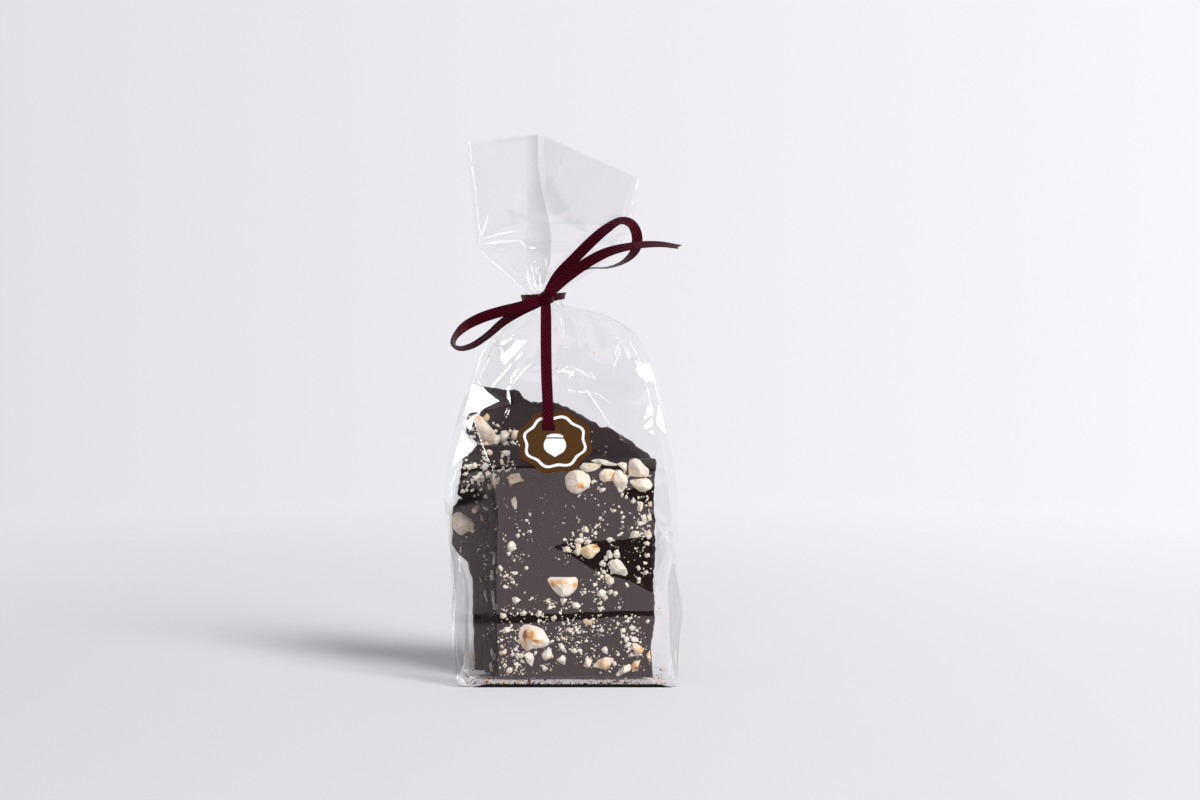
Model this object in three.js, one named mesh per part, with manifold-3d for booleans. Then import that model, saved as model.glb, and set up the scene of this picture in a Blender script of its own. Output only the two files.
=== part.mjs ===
// A gift bag of dark chocolate and hazelnut bark: a clear gusseted bag that stands on its flat base,
// gathered at the neck by a narrow satin ribbon tied in a bow, with a scalloped card tag on the ribbon.
// Millimetres, +Z up. The origin is the middle of the flat base and the front of the bag faces -Y.
import * as THREE from 'three';
import { mergeVertices } from 'three/addons/utils/BufferGeometryUtils.js';
import Module from 'manifold-3d';

const wasm = await Module();
wasm.setup();

// ---- Driving dimensions -------------------------------------------------------------------------

// The bag's section at named heights, from the flat base to the gathered neck and the open head.
// left and right are the edges seen from the front and depth is half the thickness. The front and
// back panels meet the side gussets at creaseX and creaseY, and the fold down the middle of each
// gusset is at fold, as shares of half width and half depth. flat says how square the panels stand
// (2 is a round), bow how far each half gusset bows out, and pleat how deep the gathering cuts in.
const level = (z, left, right, depth, creaseX, creaseY, fold, flat, bow, pleat) => ({
  z, left, right, depth, creaseX, creaseY, fold, flat, bow, pleat,
});
const BAG_LEVELS = [
  level(0, -56.2, 55.8, 28, 1, 1, 0.85, 5, 0, 0),
  level(33, -57, 56.2, 28.6, 1, 0.98, 0.85, 4, 0, 0),
  level(53, -58.5, 57, 28.8, 0.98, 0.93, 0.86, 3.6, 0.01, 0),
  level(74, -62, 57.3, 28.8, 0.93, 0.8, 0.985, 3.4, 0, 0),
  level(92, -63.5, 56.3, 28.2, 0.92, 0.6, 1, 3.1, 0, 0),
  level(117, -61, 52.5, 26.5, 0.93, 0.46, 1, 2.6, 0, 0.01),
  level(143, -54, 47, 22.5, 0.92, 0.42, 1, 2.3, 0.01, 0.03),
  level(156, -49.5, 44, 20, 0.9, 0.46, 1, 2.2, 0.02, 0.05),
  level(169, -44, 39.2, 17.2, 0.87, 0.5, 1, 2.1, 0.03, 0.08),
  level(179, -37.5, 32.5, 14.8, 0.84, 0.54, 1, 2, 0.04, 0.1),
  level(187, -28, 19, 12, 0.82, 0.57, 1, 2, 0.045, 0.12),
  level(192.4, -22.6, -2.6, 8.5, 0.82, 0.57, 1, 2, 0.045, 0.1),
  level(197.8, -22.6, -2.6, 8.5, 0.82, 0.57, 1, 2, 0.045, 0.1),
  level(209, -35.2, 14, 9.5, 0.85, 0.6, 1, 2.2, 0.03, 0.16),
  level(218, -43.9, 24.5, 9.5, 0.93, 0.6, 1, 2.4, 0, 0.14),
  level(224, -45.9, 28, 8.8, 0.96, 0.62, 1, 2.6, 0, 0.1),
  level(240, -47.6, 33, 7.6, 0.98, 0.7, 1, 3, 0, 0.05),
  level(278, -51.4, 37, 6.5, 0.98, 0.8, 1, 4, 0, 0),
];

// Columns across one broad panel and half a gusset, and the columns that make one pleat.
const PANEL_COLUMNS = 18;
const GUSSET_COLUMNS = 6;
const PLEAT_COLUMNS = 4;

// Largest step between rows, well away from the neck and close to it.
const ROW_STEP = 11;
const NECK_ROW_STEP = 2.6;
const NECK_REACH = 34;
const NECK_Z = 195.1;

// The open end is cut straight, but the bag's head is bent: its top edge has one peak.
const SHOULDER_Z = 224;
const HEAD_ROWS = 8;
const HEAD_LEVEL_TOP = 278;
const TOP_LEFT = { x: -51.4, z: 274.5 };
const TOP_PEAK = { x: -12.5, z: 278.4 };
const TOP_RIGHT = { x: 37.0, z: 256.2 };

// Satin ribbon, 6 mm wide as sold and 5.5 mm across between its rounded edges.
const RIBBON_WIDTH = 5.5;
const RIBBON_THICKNESS = 0.5;
const RIBBON_STEP = 2.2;

// Each run of ribbon is a list of places on its middle line: x, y, z, and how far the flat of the
// ribbon is turned away from the front, in degrees.
const RIGHT_LOOP = [
  [-11.0, -13.0, 196.0, 0],
  [-4.9, -15.0, 206.5, 8],
  [3.7, -17.5, 215.5, 8],
  [11.7, -19.0, 223.5, 12],
  [19.3, -19.0, 230.0, 28],
  [26.3, -17.0, 234.1, 48],
  [31.4, -14.5, 233.0, 34],
  [34.3, -12.0, 229.0, 14],
  [35.0, -9.5, 223.8, 10],
  [33.5, -7.4, 218.6, 38],
  [28.0, -6.8, 213.4, 64],
  [19.8, -7.2, 210.0, 78],
  [10.2, -9.0, 207.4, 76],
  [0.1, -11.0, 203.9, 60],
  [-11.0, -12.0, 196.0, 30],
];
const RIGHT_TAIL = [
  [-11.5, -13.5, 196.0, 0],
  [-0.9, -17.2, 205.5, 6],
  [11.2, -20.4, 214.0, 10],
  [20.3, -21.8, 218.5, 28],
  [29.8, -22.0, 221.0, 44],
  [38.3, -21.5, 222.2, 50],
  [47.3, -20.0, 222.3, 58],
  [55.4, -18.0, 221.2, 66],
];
const LEFT_LOOP = [
  [-11.0, -13.0, 195.6, 0],
  [-24.1, -16.0, 190.9, -4],
  [-32.5, -18.0, 188.9, -4],
  [-43.1, -19.0, 185.6, -10],
  [-51.9, -18.0, 181.0, -30],
  [-57.0, -15.0, 175.6, -58],
  [-57.6, -12.0, 171.8, -64],
  [-54.7, -10.2, 169.9, -60],
  [-48.7, -9.6, 171.2, -54],
  [-40.5, -9.6, 176.6, -50],
  [-32.8, -10.5, 183.2, -40],
  [-24.2, -11.5, 188.8, -24],
  [-11.0, -12.5, 195.0, 0],
];
const STRAND = [
  [-11.2, -13.0, 195.5, 0],
  [-11.0, -15.0, 186.8, 0],
  [-10.9, -19.3, 171.8, 0],
  [-10.6, -22.9, 156.9, 0],
  [-10.0, -26.0, 144.5, 0],
  [-9.8, -27.7, 138.0, 0],
  [-9.6, -28.4, 133.8, 0],
  [-9.5, -28.45, 132.2, 0],
  [-9.5, -27.65, 130.5, 0],
  [-9.5, -26.85, 129.2, 0],
  [-9.5, -26.7, 127.5, 0],
  [-9.5, -26.9, 124.5, 0],
];

// The wrap round the neck stands this clear of the film. The knot is a pinched pillow in front.
const WRAP_GAP = 0.45;
const WRAP_THICKNESS = 0.7;
const WRAP_HEIGHT = 4.2;
const WRAP_STEPS = 48;
const KNOT_CENTRE = [-11.0, -12.1, 195.4];
const KNOT_HALF = [4.1, 3.0, 3.7];
const KNOT_LEAN = 0.35;
const KNOT_SQUARENESS = 0.7;

// Card tag: eight lobes round an oval, with a slot for the ribbon, leaning back on the bag.
const TAG_HALF_WIDTH = 19.4;
const TAG_HALF_HEIGHT = 16.4;
const TAG_LOBES = 8;
const TAG_LOBE_DEPTH = 0.045;
const TAG_FIRST_LOBE = THREE.MathUtils.degToRad(28.6);
const TAG_STEPS = 112;
const TAG_THICKNESS = 0.6;
const TAG_LEAN = THREE.MathUtils.degToRad(7.4);
const TAG_CENTRE = [-6.3, -28.2, 123.6];
const SLOT_WIDTH = 6.6;
const SLOT_HEIGHT = 2.6;
const SLOT_PLACE = [-3.2, 7.0];

// ---- Materials ----------------------------------------------------------------------------------

const filmMaterial = new THREE.MeshStandardMaterial({ color: '#dfe0e2', roughness: 0.08, metalness: 0 });
const satinMaterial = new THREE.MeshStandardMaterial({ color: '#4a0a1c', roughness: 0.42, metalness: 0 });
const cardMaterial = new THREE.MeshStandardMaterial({ color: '#543616', roughness: 0.7, metalness: 0 });

// ---- Shapes -------------------------------------------------------------------------------------

// Closed solid of a triangle soup or indexed geometry, with its shared corners merged.
function solidOf(geometry) {
  const bare = geometry.clone();
  bare.deleteAttribute('normal');
  bare.deleteAttribute('uv');
  const merged = mergeVertices(bare, 1e-4);
  const mesh = new wasm.Mesh({
    numProp: 3,
    vertProperties: new Float32Array(merged.attributes.position.array),
    triVerts: new Uint32Array(merged.index.array),
  });
  return new wasm.Manifold(mesh);
}

function geometryOf(solid) {
  const mesh = solid.getMesh();
  const geometry = new THREE.BufferGeometry();
  geometry.setAttribute('position', new THREE.BufferAttribute(Float32Array.from(mesh.vertProperties), 3));
  geometry.setIndex(Array.from(mesh.triVerts));
  geometry.computeVertexNormals();
  return geometry;
}

// Smooth value of one named measure of the levels at height z: a cubic between neighbouring levels
// whose slopes never overshoot them.
function levelValue(name, z) {
  const last = BAG_LEVELS.length - 1;
  let i = 0;
  while (i < last - 1 && z > BAG_LEVELS[i + 1].z) i += 1;
  const step = (k) => BAG_LEVELS[k + 1].z - BAG_LEVELS[k].z;
  const rise = (k) => (BAG_LEVELS[k + 1][name] - BAG_LEVELS[k][name]) / step(k);
  const slope = (k) => {
    if (k === 0) return rise(0);
    if (k === last) return rise(last - 1);
    const before = rise(k - 1);
    const after = rise(k);
    return before * after <= 0 ? 0 : (2 * before * after) / (before + after);
  };
  const h = step(i);
  const t = THREE.MathUtils.clamp((z - BAG_LEVELS[i].z) / h, 0, 1);
  const a = BAG_LEVELS[i][name];
  const b = BAG_LEVELS[i + 1][name];
  return a * (1 + 2 * t) * (1 - t) ** 2 + h * slope(i) * t * (1 - t) ** 2
    + b * t * t * (3 - 2 * t) + h * slope(i + 1) * t * t * (t - 1);
}

// Unit section of the bag as [across, deep] pairs: front panel from left to right, right gusset,
// back panel from right to left, left gusset.
function bagSection(z) {
  const creaseX = levelValue('creaseX', z);
  const creaseY = levelValue('creaseY', z);
  const fold = levelValue('fold', z);
  const flat = levelValue('flat', z);
  const bow = levelValue('bow', z);
  const panel = (k) => {
    const s = (2 * k) / PANEL_COLUMNS - 1;
    return [creaseX * s, creaseY + (1 - creaseY) * (1 - Math.abs(s) ** flat)];
  };
  const gusset = (k) => {
    const s = k / GUSSET_COLUMNS;
    return [THREE.MathUtils.lerp(creaseX, fold, s) + bow * 4 * s * (1 - s), creaseY * (1 - s)];
  };
  const points = [];
  for (let k = 0; k < PANEL_COLUMNS; k += 1) points.push([panel(k)[0], -panel(k)[1]]);
  for (let k = 0; k < GUSSET_COLUMNS; k += 1) points.push([gusset(k)[0], -gusset(k)[1]]);
  for (let k = GUSSET_COLUMNS; k > 0; k -= 1) points.push([gusset(k)[0], gusset(k)[1]]);
  for (let k = PANEL_COLUMNS; k > 0; k -= 1) points.push([panel(k)[0], panel(k)[1]]);
  for (let k = 0; k < GUSSET_COLUMNS; k += 1) points.push([-gusset(k)[0], gusset(k)[1]]);
  for (let k = GUSSET_COLUMNS; k > 0; k -= 1) points.push([-gusset(k)[0], -gusset(k)[1]]);
  return points;
}

// Height of the open top edge at x: straight from the left corner to the peak and on to the right.
function topEdge(x) {
  const [a, b] = x < TOP_PEAK.x ? [TOP_LEFT, TOP_PEAK] : [TOP_PEAK, TOP_RIGHT];
  return a.z + ((b.z - a.z) * (x - a.x)) / (b.x - a.x);
}

// Rows of the bag: { z, rise }, where rise is how far a head row is on its way to the top edge.
function bagRows() {
  const rows = [];
  let z = 0;
  while (z < SHOULDER_Z) {
    rows.push({ z, rise: 0 });
    const far = Math.min(1, Math.abs(z - NECK_Z) / NECK_REACH);
    z += THREE.MathUtils.lerp(NECK_ROW_STEP, ROW_STEP, far);
  }
  for (let k = 0; k <= HEAD_ROWS; k += 1) rows.push({ z: SHOULDER_Z, rise: k / HEAD_ROWS });
  return rows;
}

// The whole closed bag: a loft of its sections, with gathered folds, closed by its base and head.
function bagGeometry() {
  const rows = bagRows();
  const columns = 2 * PANEL_COLUMNS + 4 * GUSSET_COLUMNS;
  const positions = [];
  const triangles = [];
  for (const row of rows) {
    const z = THREE.MathUtils.lerp(row.z, HEAD_LEVEL_TOP, row.rise);
    const left = levelValue('left', z);
    const right = levelValue('right', z);
    const depth = levelValue('depth', z);
    const pleat = levelValue('pleat', z);
    const section = bagSection(z);
    for (let k = 0; k < columns; k += 1) {
      const fold = 0.5 - 0.5 * Math.cos((2 * Math.PI * k) / PLEAT_COLUMNS);
      const draw = 1 - pleat * fold * (0.75 + 0.25 * Math.sin(1.9 * k));
      const x = (left + right) / 2 + ((right - left) / 2) * section[k][0] * draw;
      const y = depth * section[k][1] * draw;
      positions.push(x, y, THREE.MathUtils.lerp(row.z, topEdge(x), row.rise));
    }
  }
  for (let j = 0; j + 1 < rows.length; j += 1) {
    for (let k = 0; k < columns; k += 1) {
      const a = j * columns + k;
      const b = j * columns + ((k + 1) % columns);
      triangles.push(a, b, b + columns, a, b + columns, a + columns);
    }
  }
  const topRow = (rows.length - 1) * columns;
  const baseMiddle = positions.length / 3;
  positions.push(0, 0, 0);
  const topMiddle = baseMiddle + 1;
  positions.push(TOP_PEAK.x, 0, TOP_PEAK.z);
  for (let k = 0; k < columns; k += 1) {
    const next = (k + 1) % columns;
    triangles.push(baseMiddle, next, k, topMiddle, topRow + k, topRow + next);
  }
  const geometry = new THREE.BufferGeometry();
  geometry.setAttribute('position', new THREE.Float32BufferAttribute(positions, 3));
  geometry.setIndex(triangles);
  geometry.computeVertexNormals();
  return geometry;
}

// A run of flat ribbon: a rectangle carried along a smooth curve through the places, its long side
// across the run and turned from the front by each place's angle.
function ribbonRun(places, tipCut = 0) {
  const curve = new THREE.CatmullRomCurve3(places.map(([x, y, z]) => new THREE.Vector3(x, y, z)));
  const turns = new THREE.CatmullRomCurve3(places.map((place) => new THREE.Vector3(place[3], 0, 0)));
  const steps = Math.ceil(curve.getLength() / RIBBON_STEP) * 2;
  const positions = [];
  const triangles = [];
  for (let i = 0; i <= steps; i += 1) {
    const t = i / steps;
    const middle = curve.getPoint(t);
    const along = curve.getTangent(t);
    const turn = THREE.MathUtils.degToRad(turns.getPoint(t).x);
    const across = new THREE.Vector3(-along.z, 0, along.x).normalize();
    across.multiplyScalar(Math.cos(turn)).add(new THREE.Vector3(0, Math.sin(turn), 0));
    across.addScaledVector(along, -across.dot(along)).normalize();
    const out = new THREE.Vector3().crossVectors(along, across);
    for (const [side, face] of [[-1, -1], [1, -1], [1, 1], [-1, 1]]) {
      const corner = middle.clone();
      corner.addScaledVector(across, (side * RIBBON_WIDTH) / 2);
      corner.addScaledVector(out, (face * RIBBON_THICKNESS) / 2);
      if (i === steps) corner.addScaledVector(along, side * tipCut);
      positions.push(corner.x, corner.y, corner.z);
    }
  }
  for (let i = 0; i < steps; i += 1) {
    for (let k = 0; k < 4; k += 1) {
      const a = 4 * i + k;
      const b = 4 * i + ((k + 1) % 4);
      triangles.push(a, b, b + 4, a, b + 4, a + 4);
    }
  }
  const end = 4 * steps;
  triangles.push(0, 2, 1, 0, 3, 2, end, end + 1, end + 2, end, end + 2, end + 3);
  const geometry = new THREE.BufferGeometry();
  geometry.setAttribute('position', new THREE.Float32BufferAttribute(positions, 3));
  geometry.setIndex(triangles);
  return solidOf(geometry);
}

// The wrap: an oval band round the gathered neck, made as a closed profile carried round.
function wrapSolid() {
  const halfWidth = (levelValue('right', NECK_Z) - levelValue('left', NECK_Z)) / 2 + WRAP_GAP;
  const halfDepth = levelValue('depth', NECK_Z) + WRAP_GAP;
  const middleX = (levelValue('right', NECK_Z) + levelValue('left', NECK_Z)) / 2;
  const oval = (grow) => {
    const path = new THREE.Path();
    path.absellipse(middleX, 0, halfWidth + grow, halfDepth + grow, 0, 2 * Math.PI, false, 0);
    return path.getSpacedPoints(WRAP_STEPS);
  };
  const band = new THREE.Shape(oval(WRAP_THICKNESS));
  band.holes.push(new THREE.Path(oval(0)));
  const geometry = new THREE.ExtrudeGeometry(band, { depth: WRAP_HEIGHT, bevelEnabled: false });
  geometry.translate(0, 0, NECK_Z - WRAP_HEIGHT / 2);
  return solidOf(geometry);
}

// The knot: a squarish pillow that leans with the bow.
function knotSolid() {
  const geometry = new THREE.SphereGeometry(1, 20, 12);
  const position = geometry.attributes.position;
  const corner = new THREE.Vector3();
  const squarer = (value) => Math.sign(value) * Math.abs(value) ** KNOT_SQUARENESS;
  for (let i = 0; i < position.count; i += 1) {
    corner.fromBufferAttribute(position, i);
    position.setXYZ(i, squarer(corner.x), squarer(corner.y), squarer(corner.z));
  }
  geometry.scale(...KNOT_HALF);
  geometry.rotateY(-KNOT_LEAN);
  geometry.translate(...KNOT_CENTRE);
  return solidOf(geometry);
}

// Knot, wrap, two loops, the free tail and the hanging strand are one tied ribbon.
function ribbonGeometry() {
  const runs = [
    wrapSolid(),
    knotSolid(),
    ribbonRun(RIGHT_LOOP),
    ribbonRun(RIGHT_TAIL, RIBBON_WIDTH / 2),
    ribbonRun(LEFT_LOOP),
    ribbonRun(STRAND),
  ];
  const tied = runs.reduce((whole, run) => whole.add(run));
  return geometryOf(tied);
}

// Radius factor of the scalloped outline round its oval, 1 at the tip of each lobe.
function tagRadius(angle) {
  return 1 - TAG_LOBE_DEPTH * (1 - Math.cos(TAG_LOBES * (angle - TAG_FIRST_LOBE)));
}

// The tag, drawn flat, given its slot, and then stood up and leaned back.
function tagGeometry() {
  const outline = [];
  for (let i = 0; i < TAG_STEPS; i += 1) {
    const angle = (2 * Math.PI * i) / TAG_STEPS;
    const reach = tagRadius(angle);
    outline.push(new THREE.Vector2(
      TAG_HALF_WIDTH * reach * Math.cos(angle),
      TAG_HALF_HEIGHT * reach * Math.sin(angle),
    ));
  }
  const card = new THREE.Shape(outline);
  const [slotX, slotY] = SLOT_PLACE;
  card.holes.push(new THREE.Path([
    new THREE.Vector2(slotX - SLOT_WIDTH / 2, slotY - SLOT_HEIGHT / 2),
    new THREE.Vector2(slotX + SLOT_WIDTH / 2, slotY - SLOT_HEIGHT / 2),
    new THREE.Vector2(slotX + SLOT_WIDTH / 2, slotY + SLOT_HEIGHT / 2),
    new THREE.Vector2(slotX - SLOT_WIDTH / 2, slotY + SLOT_HEIGHT / 2),
  ]));
  const geometry = new THREE.ExtrudeGeometry(card, { depth: TAG_THICKNESS, bevelEnabled: false });
  geometry.rotateX(Math.PI / 2 - TAG_LEAN);
  return geometry;
}

// ---- The object ---------------------------------------------------------------------------------

const giftBag = new THREE.Group();

const bag = new THREE.Mesh(bagGeometry(), filmMaterial);
bag.name = 'bag';
giftBag.add(bag);

const ribbon = new THREE.Mesh(ribbonGeometry(), satinMaterial);
ribbon.name = 'ribbon';
giftBag.add(ribbon);

const tag = new THREE.Mesh(tagGeometry(), cardMaterial);
tag.name = 'tag';
tag.position.set(...TAG_CENTRE);
giftBag.add(tag);

export default giftBag;
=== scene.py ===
"""A clear gusseted gift bag of dark chocolate and hazelnut bark, tied with a satin ribbon and a card tag."""
import math

import bmesh
import bpy
import numpy as np
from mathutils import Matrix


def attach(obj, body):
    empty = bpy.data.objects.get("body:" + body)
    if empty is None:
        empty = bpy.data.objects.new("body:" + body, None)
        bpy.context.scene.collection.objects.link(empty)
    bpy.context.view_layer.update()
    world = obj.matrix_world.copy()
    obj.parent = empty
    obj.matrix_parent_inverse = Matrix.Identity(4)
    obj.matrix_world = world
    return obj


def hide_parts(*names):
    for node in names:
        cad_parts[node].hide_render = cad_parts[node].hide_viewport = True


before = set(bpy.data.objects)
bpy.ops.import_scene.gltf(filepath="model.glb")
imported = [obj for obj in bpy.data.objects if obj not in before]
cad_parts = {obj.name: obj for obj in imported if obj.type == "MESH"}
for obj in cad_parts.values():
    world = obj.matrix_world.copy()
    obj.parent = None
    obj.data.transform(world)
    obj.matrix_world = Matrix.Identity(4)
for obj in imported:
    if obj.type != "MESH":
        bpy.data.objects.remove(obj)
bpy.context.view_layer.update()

# ---- Camera ---------------------------------------------------------------------------------------
# The bag was photographed from the front with a long lens, a little above its middle, so its upright
# edges stay parallel and its base is seen from slightly above. Half a millimetre fills one pixel.
MM = 0.001
LENS_MM = 75.0
SENSOR_MM = 36.0
CAMERA_PLACE = (16.25, -1276.3, 210.0)
CAMERA_DIP_DEG = 3.0

camera_data = bpy.data.cameras.new("camera")
camera_data.lens = LENS_MM
camera_data.sensor_width = SENSOR_MM
camera_data.clip_end = 50.0
camera = bpy.data.objects.new("camera", camera_data)
camera.location = [MM * c for c in CAMERA_PLACE]
camera.rotation_euler = (math.radians(90 - CAMERA_DIP_DEG), 0, 0)
bpy.context.scene.collection.objects.link(camera)
bpy.context.scene.camera = camera


def node_material(name):
    """A new material with an empty node tree, and the function that adds a node to it."""
    material = bpy.data.materials.new(name)
    material.use_nodes = True
    tree = material.node_tree
    tree.nodes.clear()
    return material, node_adder(tree)


def node_adder(tree):
    """add(kind, inputs, **settings) for one tree: an input's value is a number, a colour or a socket."""
    def add(kind, inputs=None, **settings):
        node = tree.nodes.new(kind)
        for key, value in settings.items():
            setattr(node, key, value)
        for key, value in (inputs or {}).items():
            if isinstance(value, bpy.types.NodeSocket):
                tree.links.new(value, node.inputs[key])
            else:
                node.inputs[key].default_value = value
        return node
    return add


# ---- Floor, backdrop and studio light -------------------------------------------------------------
# A pale seamless sweep. The floor is a plain disc whose rim fades into the backdrop's own tone. A
# broad soft light far off to the right gives the shadow, and narrow strips show in the gloss.
FLOOR_RADIUS = 2.2
FLOOR_FADE = (0.25, 1.1)
# Painted shade: the floor is painted darker to the left, away from the key light, and lighter to the right.
FLOOR_LEFT_PAINTED_SHADE = (0.649, 0.653, 0.676, 1.0)
FLOOR_RIGHT = (0.783, 0.778, 0.802, 1.0)

floor_mesh = bpy.data.meshes.new("floor")
floor_builder = bmesh.new()
bmesh.ops.create_circle(floor_builder, cap_ends=True, segments=96, radius=FLOOR_RADIUS)
floor_builder.to_mesh(floor_mesh)
floor_builder.free()
floor = bpy.data.objects.new("floor", floor_mesh)
bpy.context.scene.collection.objects.link(floor)
floor_material, add = node_material("seamless_paper")
place = add("ShaderNodeTexCoord").outputs["Object"]
reach = add("ShaderNodeVectorMath", {0: place}, operation="LENGTH").outputs["Value"]
fade = add("ShaderNodeMapRange", {"Value": reach, "From Min": FLOOR_FADE[0], "From Max": FLOOR_FADE[1]},
           interpolation_type="SMOOTHSTEP")
# Painted shade: the floor's colour runs from the darker left to the lighter right.
across = add("ShaderNodeSeparateXYZ", {0: place}).outputs[0]
side = add("ShaderNodeMapRange", {"Value": across, "From Min": -0.28, "From Max": 0.3})
tone = add("ShaderNodeMix", {0: side.outputs[0], 6: FLOOR_LEFT_PAINTED_SHADE, 7: FLOOR_RIGHT}, data_type="RGBA")
paper = add("ShaderNodeBsdfDiffuse", {"Color": tone.outputs[2]})
clear = add("ShaderNodeBsdfTransparent")
mixed = add("ShaderNodeMixShader", {0: fade.outputs[0], 1: paper.outputs[0], 2: clear.outputs[0]})
add("ShaderNodeOutputMaterial", {"Surface": mixed.outputs[0]})
floor_mesh.materials.append(floor_material)
floor.visible_glossy = False

# The world: seen directly it is the pale backdrop, painted a touch darker to the left as shade. Seen in the
# gloss of the film it is a studio: white table below, the dark room beyond it in front, pale walls around.
BACKDROP_LEFT_PAINTED_SHADE = (0.733, 0.728, 0.766, 1.0)
BACKDROP_RIGHT = (0.942, 0.936, 0.976, 1.0)
TABLE_GLOW = (1.33, 1.09, 1.18, 1.0)
ROOM_DARK = (0.02, 0.02, 0.02, 1.0)
CEILING = (0.55, 0.43, 0.49, 1.0)
WALLS = (0.85, 0.85, 0.88, 1.0)
DIFFUSE_SHARE = 0.5

world = bpy.data.worlds.new("studio")
world.use_nodes = True
world.node_tree.nodes.clear()
bpy.context.scene.world = world
add = node_adder(world.node_tree)
direction = add("ShaderNodeTexCoord").outputs["Generated"]
parts = add("ShaderNodeSeparateXYZ", {0: direction})
across, ahead, up = parts.outputs
# Painted shade on the backdrop: darker to the left, lighter to the right.
side = add("ShaderNodeMapRange", {"Value": across, "From Min": -0.3, "From Max": 0.25})
backdrop = add("ShaderNodeMix", {0: side.outputs[0], 6: BACKDROP_LEFT_PAINTED_SHADE, 7: BACKDROP_RIGHT}, data_type="RGBA")
rise = add("ShaderNodeMapRange", {"Value": up, "From Min": -1.0, "From Max": 1.0})
height = add("ShaderNodeValToRGB", {0: rise.outputs[0]})
stops = height.color_ramp.elements
stops[0].position = 0.509
stops[0].color = TABLE_GLOW
stops[1].position = 0.66
stops[1].color = CEILING
for position in (0.5175, 0.59):
    stops.new(position).color = ROOM_DARK
facing = add("ShaderNodeMapRange", {"Value": ahead, "From Min": -0.75, "From Max": -0.35},
             interpolation_type="SMOOTHSTEP")
room = add("ShaderNodeMix", {0: facing.outputs[0], 6: height.outputs[0], 7: WALLS}, data_type="RGBA")
seen = add("ShaderNodeLightPath").outputs["Is Camera Ray"]
both = add("ShaderNodeMix", {0: seen, 6: room.outputs[2], 7: backdrop.outputs[2]}, data_type="RGBA")
soft = add("ShaderNodeLightPath").outputs["Is Diffuse Ray"]
power = add("ShaderNodeMapRange", {"Value": soft, "To Min": 1.0, "To Max": DIFFUSE_SHARE})
glow = add("ShaderNodeBackground", {"Color": both.outputs[2], "Strength": power.outputs[0]})
add("ShaderNodeOutputWorld", {"Surface": glow.outputs[0]})

# The two far lights, as broad as 22 degrees: name, degrees right of the camera, degrees up, strength.
FAR_LIGHTS = [("key", 44, 38, 3.2), ("fill", -8, 24, 0.4)]
FAR_LIGHT_SPREAD_DEG = 22.0
for name, turn, lift, strength in FAR_LIGHTS:
    light_data = bpy.data.lights.new(name, "SUN")
    light_data.angle = math.radians(FAR_LIGHT_SPREAD_DEG)
    light_data.energy = strength
    light = bpy.data.objects.new(name, light_data)
    light.rotation_euler = (math.radians(90 - lift), 0, math.radians(turn))
    light.visible_camera = False
    light.visible_glossy = False
    bpy.context.scene.collection.objects.link(light)

# The near strips that show in the gloss: name, degrees right, degrees up, distance, width, height, watts.
STRIP_LIGHTS = [
    ("left_strip", -72, 24, 1.6, 0.22, 0.75, 10.0),
    ("right_strip", 76, 22, 1.6, 0.18, 0.75, 8.8),
]
LIGHT_AIM = (0.0, 0.0, 0.10)
for name, turn, lift, distance, width, tall, watts in STRIP_LIGHTS:
    light_data = bpy.data.lights.new(name, "AREA")
    light_data.shape = "RECTANGLE"
    light_data.size = width
    light_data.size_y = tall
    light_data.energy = watts
    light = bpy.data.objects.new(name, light_data)
    turn, lift = math.radians(turn), math.radians(lift)
    away = [math.sin(turn) * math.cos(lift), -math.cos(turn) * math.cos(lift), math.sin(lift)]
    light.location = np.array(LIGHT_AIM) + distance * np.array(away)
    light.rotation_euler = (math.pi / 2 - lift, 0, turn)
    light.visible_camera = False
    light.visible_diffuse = False
    bpy.context.scene.collection.objects.link(light)

scene = bpy.context.scene
scene.view_settings.view_transform = "Standard"
scene.view_settings.look = "None"
scene.cycles.use_denoising = True
scene.cycles.transparent_max_bounces = 64
scene.cycles.max_bounces = 10

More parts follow.
